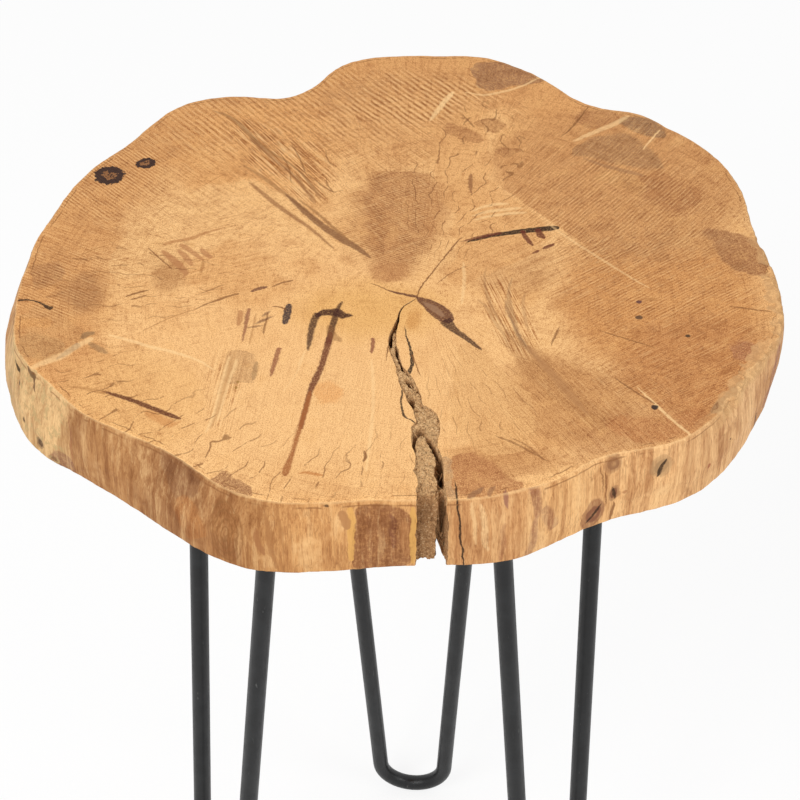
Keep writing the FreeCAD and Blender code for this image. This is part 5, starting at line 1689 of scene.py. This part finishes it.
@dataclass
class TornFibre:
    """The torn wood that still fills the crack: a long block between the walls, and what lies in the slit."""

    edge: LivingEdge
    underside: float
    thickness: float
    tuck: float = 1.3
    start: float = -45.0
    front_top: float = -171.0
    front_bottom: float = -175.4
    profile: tuple = (
        (-45.0, 7.0), (-53.0, 5.5), (-57.0, 3.0), (-61.0, 1.3), (-75.0, 1.0), (-92.0, 1.1), (-104.0, 1.7),
        (-118.0, 1.3), (-131.0, 1.5), (-147.0, 1.2), (-165.0, 1.9), (-171.0, 3.0), (-176.0, 4.5),
    )
    wells: tuple = (
        Well(((4.6, -57.0), (3.4, -63.0), (3.3, -71.0)), 0.75, 9.0),
        Well(((6.4, -72.0), (6.6, -79.0), (8.4, -84.0), (9.6, -88.0), (12.0, -91.5)), 0.55, 6.0),
        Well(((11.6, -96.2), (12.6, -99.0)), 1.15, 12.0),
        Well(((13.0, -108.5), (12.8, -114.0)), 1.2, 13.0),
        Well(((15.4, -116.6), (16.2, -117.6)), 0.9, 7.0),
        Well(((17.0, -130.6), (15.6, -133.2)), 1.6, 12.0),
        Well(((15.4, -133.4), (13.8, -137.5), (13.6, -144.6)), 0.8, 9.0),
        Well(((18.6, -132.5), (20.8, -137.4)), 0.8, 3.0),
        Well(((20.8, -137.4), (22.6, -142.4), (24.4, -148.5)), 0.95, 20.0),
        Well(((24.4, -148.5), (25.6, -151.5)), 0.9, 20.0),
        Well(((17.6, -101.5), (16.6, -104.0)), 0.7, 2.6),
    )
    slit_start: float = -146.0
    slit_front: float = -173.0
    slit_profile: tuple = (
        (-146.0, 6.0), (-152.0, 7.5), (-160.0, 6.5), (-165.0, 5.0), (-168.0, 3.6), (-172.0, 4.6),
    )
    pockets: tuple = (
        Well(((25.4, -150.5), (25.9, -158.0), (25.2, -165.8)), 0.95, 17.0),
        Well(((26.2, -169.4), (26.0, -177.0)), 0.9, 20.0),
    )

    def left(self, y: np.ndarray) -> np.ndarray:
        """X of the block's left side, tucked into the wall."""
        return along(LEFT_WALL, y) - self.tuck

    def right(self, y: np.ndarray) -> np.ndarray:
        """X of the block's right side: tucked into the wall, and from the slit on, the slit's edge."""
        wall = along(RIGHT_WALL, y) + self.tuck
        slit = along(SLIT_EDGE, y)
        blend = smooth(y, -147.5, -150.5)
        return wall * (1.0 - blend) + slit * blend

    def torn_depth(self, x: np.ndarray, y: np.ndarray, profile: Sequence[tuple],
                   wells: Sequence[Well]) -> np.ndarray:
        """Depth of a torn surface under the sawn face.

        The depth along the crack, plus crumbs in three sizes, plus the wells. A well's floor is flat and
        its sides are steep: exp(−(distance to its line / half width)⁴).

        Args:
            x, y: plan coordinates.
            profile: (y, depth) along the crack.
            wells: holes and grooves.

        Returns:
            Array of depths, at least 0.2.
        """
        table = np.array(profile)
        depth = np.interp(-y, -table[:, 0], table[:, 1])
        place = stacked(x, y, np.zeros_like(x))
        depth = depth + 0.55 * rough(place, (3.6, 4.6, 4.0), 2, 101)
        depth = depth + 0.60 * rough(place, (1.5, 1.7, 2.0), 2, 111)
        depth = depth + 0.35 * rough(place, (0.7, 0.7, 1.0), 1, 121)
        for number, well in enumerate(wells):
            gap = distance_to_line(x, y, well.points) + 0.35 * rough(place, (1.8, 1.8, 2.0), 2, 131 + number)
            depth = depth + well.depth * np.exp(-(np.maximum(gap, 0.0) / well.half_width) ** 4)
        return np.maximum(depth, 0.2)

    def front(self, x: np.ndarray, height: np.ndarray) -> np.ndarray:
        """Y of the crumbled front face at a height above the underside."""
        share = smooth(height, 0.0, self.thickness)
        y = self.front_bottom + (self.front_top - self.front_bottom) * share ** 3
        place = stacked(x, np.zeros_like(x), height)
        lumps = 0.75 * rough(place, (4.2, 4.0, 3.4), 3, 141) + 0.40 * rough(place, (1.4, 2.0, 1.2), 2, 151)
        return y + lumps + 1.6 * smooth(height, 4.0, 0.0) * (0.5 + 0.5 * lumps)

    def block(self, across: np.ndarray, run: np.ndarray, up: np.ndarray) -> np.ndarray:
        """Points of the long block from its three shares.

        Args:
            across: share from the left side to the right side.
            run: share from the pith's end to the front.
            up: share from the bottom to the torn surface.

        Returns:
            Array of points in the table's own frame.
        """
        across, run, up = np.broadcast_arrays(across, run, up)
        plain = self.start + (self.front_bottom - self.start) * run
        x = self.left(plain) + (self.right(plain) - self.left(plain)) * across
        ragged = 1.2 + 1.0 * rough(stacked(x, plain, np.zeros_like(x)), (3.0, 3.0, 3.0), 3, 161)
        bottom = np.maximum(ragged, 0.15)
        height = bottom + (self.thickness - bottom) * up
        front = self.front(x, height)
        y = self.start + (front - self.start) * run
        left, right = self.left(y), self.right(y)
        open_side = smooth(y, -149.0, -152.0) * smooth(across, 0.55, 1.0)
        lumps = rough(stacked(np.zeros_like(y), y, height), (4.0, 2.6, 5.0), 3, 171)
        x = left + (right - left) * across + open_side * (0.9 * lumps - 0.4)
        depth = self.torn_depth(x, y, self.profile, self.wells)
        surface = bottom + (self.thickness - depth - bottom) * up
        return stacked(x - self.edge.middle[0], y - self.edge.middle[1], self.underside + surface)

    def slit_fill(self, across: np.ndarray, run: np.ndarray, up: np.ndarray) -> np.ndarray:
        """Points of the strands in the slit, whose bottom climbs to the left, from their three shares."""
        across, run, up = np.broadcast_arrays(across, run, up)
        lumps = rough(stacked(across * 5.0, np.zeros_like(run), up * 30.0), (1.3, 1.0, 4.0), 3, 181)
        front = self.slit_front + 1.3 * lumps
        y = self.slit_start + (front - self.slit_start) * run
        left = along(SLIT_EDGE, y) - 2.2
        right = along(RIGHT_WALL, y) + self.tuck
        x = left + (right - left) * across
        plan = stacked(x, y, np.zeros_like(x))
        climb = 10.5 * smooth(across, 0.85, 0.25) * smooth(y, -150.0, -160.0)
        floor = np.maximum(1.0 + climb + 1.6 * rough(plan, (1.1, 1.6, 1.0), 3, 201), 0.1)
        depth = self.torn_depth(x, y, self.slit_profile, self.pockets)
        surface = floor + np.maximum(self.thickness - depth - floor, 0.3) * up
        return stacked(x - self.edge.middle[0], y - self.edge.middle[1], self.underside + surface)

    def solid(self, name: str, shape: Callable, counts: Sequence[int]) -> bpy.types.Object:
        """Closed skin of a block whose points come from three shares.

        Args:
            name: name of the object.
            shape: function of the shares across, along and up.
            counts: how many points each of the three edges has.

        Returns:
            The object.
        """
        across, run, up = (np.linspace(0.0, 1.0, count) for count in counts)
        first, last = np.array(0.0), np.array(1.0)
        skin = Skin.CRACK.value
        sheets = [
            Sheet(shape(across[:, None], run[None, :], last), skin),
            Sheet(shape(across[:, None], run[None, :], first), skin),
            Sheet(shape(first, run[:, None], up[None, :]), skin),
            Sheet(shape(last, run[:, None], up[None, :]), skin),
            Sheet(shape(across[:, None], first, up[None, :]), skin),
            Sheet(shape(across[:, None], last, up[None, :]), skin),
        ]
        return closed_mesh(name, sheets, crease=75.0)

    def build(self) -> list:
        """Makes both pieces of torn fibre.

        Returns:
            The objects crack_fibre and slit_fibre.
        """
        return [
            self.solid("crack_fibre", self.block, (44, 280, 44)),
            self.solid("slit_fibre", self.slit_fill, (22, 60, 36)),
        ]


@dataclass(frozen=True)
class Splinter:
    """A thin whisker of wood: its root and tip as plan place and depth under the face, and its radius."""

    root: tuple
    tip: tuple
    radius: float
    bow: float = 0.0


@dataclass
class Splinters:
    """Whiskers of torn wood that stand out of the crack and of the torn edge."""

    edge: LivingEdge
    top: float
    rings: int = 14
    sides: int = 9
    whiskers: tuple = (
        Splinter((184.5, -47.0, 2.2), (191.2, -49.8, 1.6), 0.30, 0.2),
        Splinter((174.0, -57.0, 0.5), (188.8, -63.5, 1.9), 0.34, 0.7),
        Splinter((187.0, -28.0, 2.6), (193.0, -31.5, 2.2), 0.26, -0.4),
        Splinter((10.1, -113.8, 1.4), (13.9, -128.4, 0.9), 0.55, 0.4),
        Splinter((22.8, -151.0, 5.5), (26.4, -157.5, 5.6), 0.32, 0.5),
        Splinter((26.6, -155.0, 5.0), (24.2, -161.5, 6.0), 0.26, -0.4),
        Splinter((23.6, -163.0, 4.6), (27.2, -168.0, 3.8), 0.36, 0.3),
        Splinter((27.4, -168.5, 4.6), (24.6, -173.0, 5.4), 0.24, 0.3),
        Splinter((14.0, -131.0, 1.5), (16.6, -136.0, 2.4), 0.26, 0.3),
        Splinter((12.6, -98.0, 1.8), (13.8, -103.5, 1.4), 0.24, -0.2),
        Splinter((2.6, -70.0, 1.2), (4.6, -77.0, 1.4), 0.22, 0.2),
    )

    def tube(self, whisker: Splinter) -> Sheet:
        """One whisker: circles along a bowed line, wide near the root and drawn to a point at the tip.

        The circle at share t of the way has radius r · (1 − t)^0.7 · √(min(12 t, 1)).
        """
        root = np.array([*whisker.root[:2], self.top - whisker.root[2]])
        tip = np.array([*whisker.tip[:2], self.top - whisker.tip[2]])
        way = (tip - root) / np.linalg.norm(tip - root)
        side = np.cross(way, (0.0, 0.0, 1.0))
        side = side / np.linalg.norm(side)
        other = np.cross(side, way)
        share = np.linspace(0.0, 1.0, self.rings)[:, None, None]
        turn = np.linspace(0.0, 2.0 * math.pi, self.sides + 1)[None, :, None]
        radius = whisker.radius * (1.0 - share) ** 0.7 * np.sqrt(np.minimum(12.0 * share, 1.0))
        line = root + (tip - root) * share + side * whisker.bow * np.sin(math.pi * share)
        points = line + radius * (side * np.cos(turn) + other * np.sin(turn))
        return Sheet(points - np.array([*self.edge.middle, 0.0]), Skin.CRACK.value)

    def build(self) -> bpy.types.Object:
        """Makes all the whiskers as one object."""
        return closed_mesh("splinters", [self.tube(whisker) for whisker in self.whiskers], crease=60.0)


@dataclass(frozen=True)
class PaleFloor(Finish):
    """White studio floor: it takes a soft shadow, and the camera sees it close to white."""

    name: str = "pale_floor"
    own_light: float = 0.8

    def draw(self, graph: Graph) -> Socket:
        """Mixes the lit floor with plain white for the rays of the camera."""
        lit = graph.node("ShaderNodeBsdfDiffuse")
        lit.inputs["Color"].default_value = paint(250, 250, 250)
        white = graph.node("ShaderNodeEmission")
        white.inputs["Color"].default_value = (1.0, 1.0, 1.0, 1.0)
        white.inputs["Strength"].default_value = 1.0
        seen = graph.looked_at() * self.own_light
        mixed = graph.node("ShaderNodeMixShader")
        graph.feed(mixed.inputs[0], seen)
        graph.feed(mixed.inputs[1], lit.outputs[0])
        graph.feed(mixed.inputs[2], white.outputs[0])
        return mixed.outputs[0]


@dataclass(frozen=True)
class Softbox:
    """A square lamp: where it hangs, where it points, its side and its power, in metres and watts."""

    name: str
    place: tuple
    target: tuple
    side: float
    power: float


@dataclass
class Studio:
    """Plain pale floor, soft lamps and the camera, which looks along +Y and down."""

    camera_place: tuple = (2.2, -938.6, 1241.0)
    camera_tilt: float = 49.7
    focal_length: float = 106.57
    floor_half: float = 4000.0
    sky: float = 0.70
    lamps: tuple = (
        Softbox("key_softbox", (-1.4, -1.7, 2.3), (0.0, 0.0, 0.45), 1.4, 40.0),
        Softbox("fill_softbox", (1.9, -1.2, 1.7), (0.0, 0.0, 0.45), 1.4, 16.0),
    )

    def camera(self) -> None:
        """Adds the camera at the photograph's place and angle."""
        data = bpy.data.cameras.new("camera")
        data.lens = self.focal_length
        data.sensor_width = 36.0
        data.clip_end = 50.0
        camera = bpy.data.objects.new("camera", data)
        camera.location = [value * MM for value in self.camera_place]
        camera.rotation_euler = (math.radians(self.camera_tilt), 0.0, 0.0)
        bpy.context.scene.collection.objects.link(camera)
        bpy.context.scene.camera = camera

    def floor(self) -> None:
        """Adds the floor, which isn't part of the object."""
        half = self.floor_half * MM
        mesh = bpy.data.meshes.new("floor")
        corners = [(-half, -half, 0.0), (half, -half, 0.0), (half, half, 0.0), (-half, half, 0.0)]
        mesh.from_pydata(corners, [], [(0, 1, 2, 3)])
        mesh.materials.append(PaleFloor().material())
        plane = bpy.data.objects.new("floor", mesh)
        bpy.context.scene.collection.objects.link(plane)

    def world(self) -> None:
        """White to the eye and in reflections; a plainer grey light on everything else."""
        made = bpy.data.worlds.new("studio_sky")
        made.use_nodes = True
        graph = Graph(made.node_tree)
        seen = graph.looked_at()
        background = graph.node("ShaderNodeBackground")
        background.inputs["Color"].default_value = (1.0, 1.0, 1.0, 1.0)
        graph.feed(background.inputs["Strength"], seen * (1.0 - self.sky) + self.sky)
        output = graph.node("ShaderNodeOutputWorld")
        graph.feed(output.inputs["Surface"], background.outputs[0])
        bpy.context.scene.world = made

    def lights(self) -> None:
        """Hangs the soft lamps."""
        for lamp in self.lamps:
            data = bpy.data.lights.new(lamp.name, "AREA")
            data.shape = "SQUARE"
            data.size = lamp.side
            data.energy = lamp.power
            light = bpy.data.objects.new(lamp.name, data)
            light.location = lamp.place
            direction = np.array(lamp.target) - np.array(lamp.place)
            level = math.hypot(direction[0], direction[1])
            turn = math.atan2(direction[1], direction[0]) - math.pi / 2.0
            light.rotation_euler = (math.pi / 2.0 + math.atan2(direction[2], level), 0.0, turn)
            bpy.context.scene.collection.objects.link(light)

    def build(self) -> None:
        """Sets the whole studio up."""
        self.camera()
        self.floor()
        self.world()
        self.lights()
        view = bpy.context.scene.view_settings
        view.view_transform = "Standard"


def dress(piece: bpy.types.Object, finishes: Sequence[Finish]) -> None:
    """Gives a piece its materials, in the order of its slots."""
    slots = piece.data.materials
    for number, finish in enumerate(finishes):
        made = bpy.data.materials.get(finish.name) or finish.material()
        if number < len(slots):
            slots[number] = made
        else:
            slots.append(made)


def main() -> None:
    """Builds the wooden pieces, gives every piece its finish and sets up the studio."""
    low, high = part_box("tabletop")
    underside = low.z / MM
    thickness = (high.z - low.z) / MM
    edge = LivingEdge(thickness)
    log.info("outline's middle is at %.3f, %.3f", *edge.middle)
    middle = tuple(float(value) for value in edge.middle)
    top = underside + thickness
    wood = (EndGrain(middle), LivingBark(middle), SawnUnderside(middle), TornWood(middle, top))
    half_size = np.array([high.x - low.x, high.y - low.y]) / MM / 2.0
    slab = Slab(edge, underside, thickness, half_size).build()
    pieces = [slab, *TornFibre(edge, underside, thickness).build(), Splinters(edge, top).build()]
    for piece in pieces:
        log.info("%s: %d faces", piece.name, len(piece.data.polygons))
        dress(piece, wood)
        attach(piece, "root")
        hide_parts("tabletop")
    for name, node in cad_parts.items():
        if name.endswith(("_rod", "_plate")) or "_weld_" in name:
            dress(node, [PowderCoat()])
        elif "_screw_" in name:
            dress(node, [ZincPlate()])
    Studio().build()


if __name__ == "__main__":
    logging.basicConfig(level=logging.INFO, format="%(name)s: %(message)s")
    main()
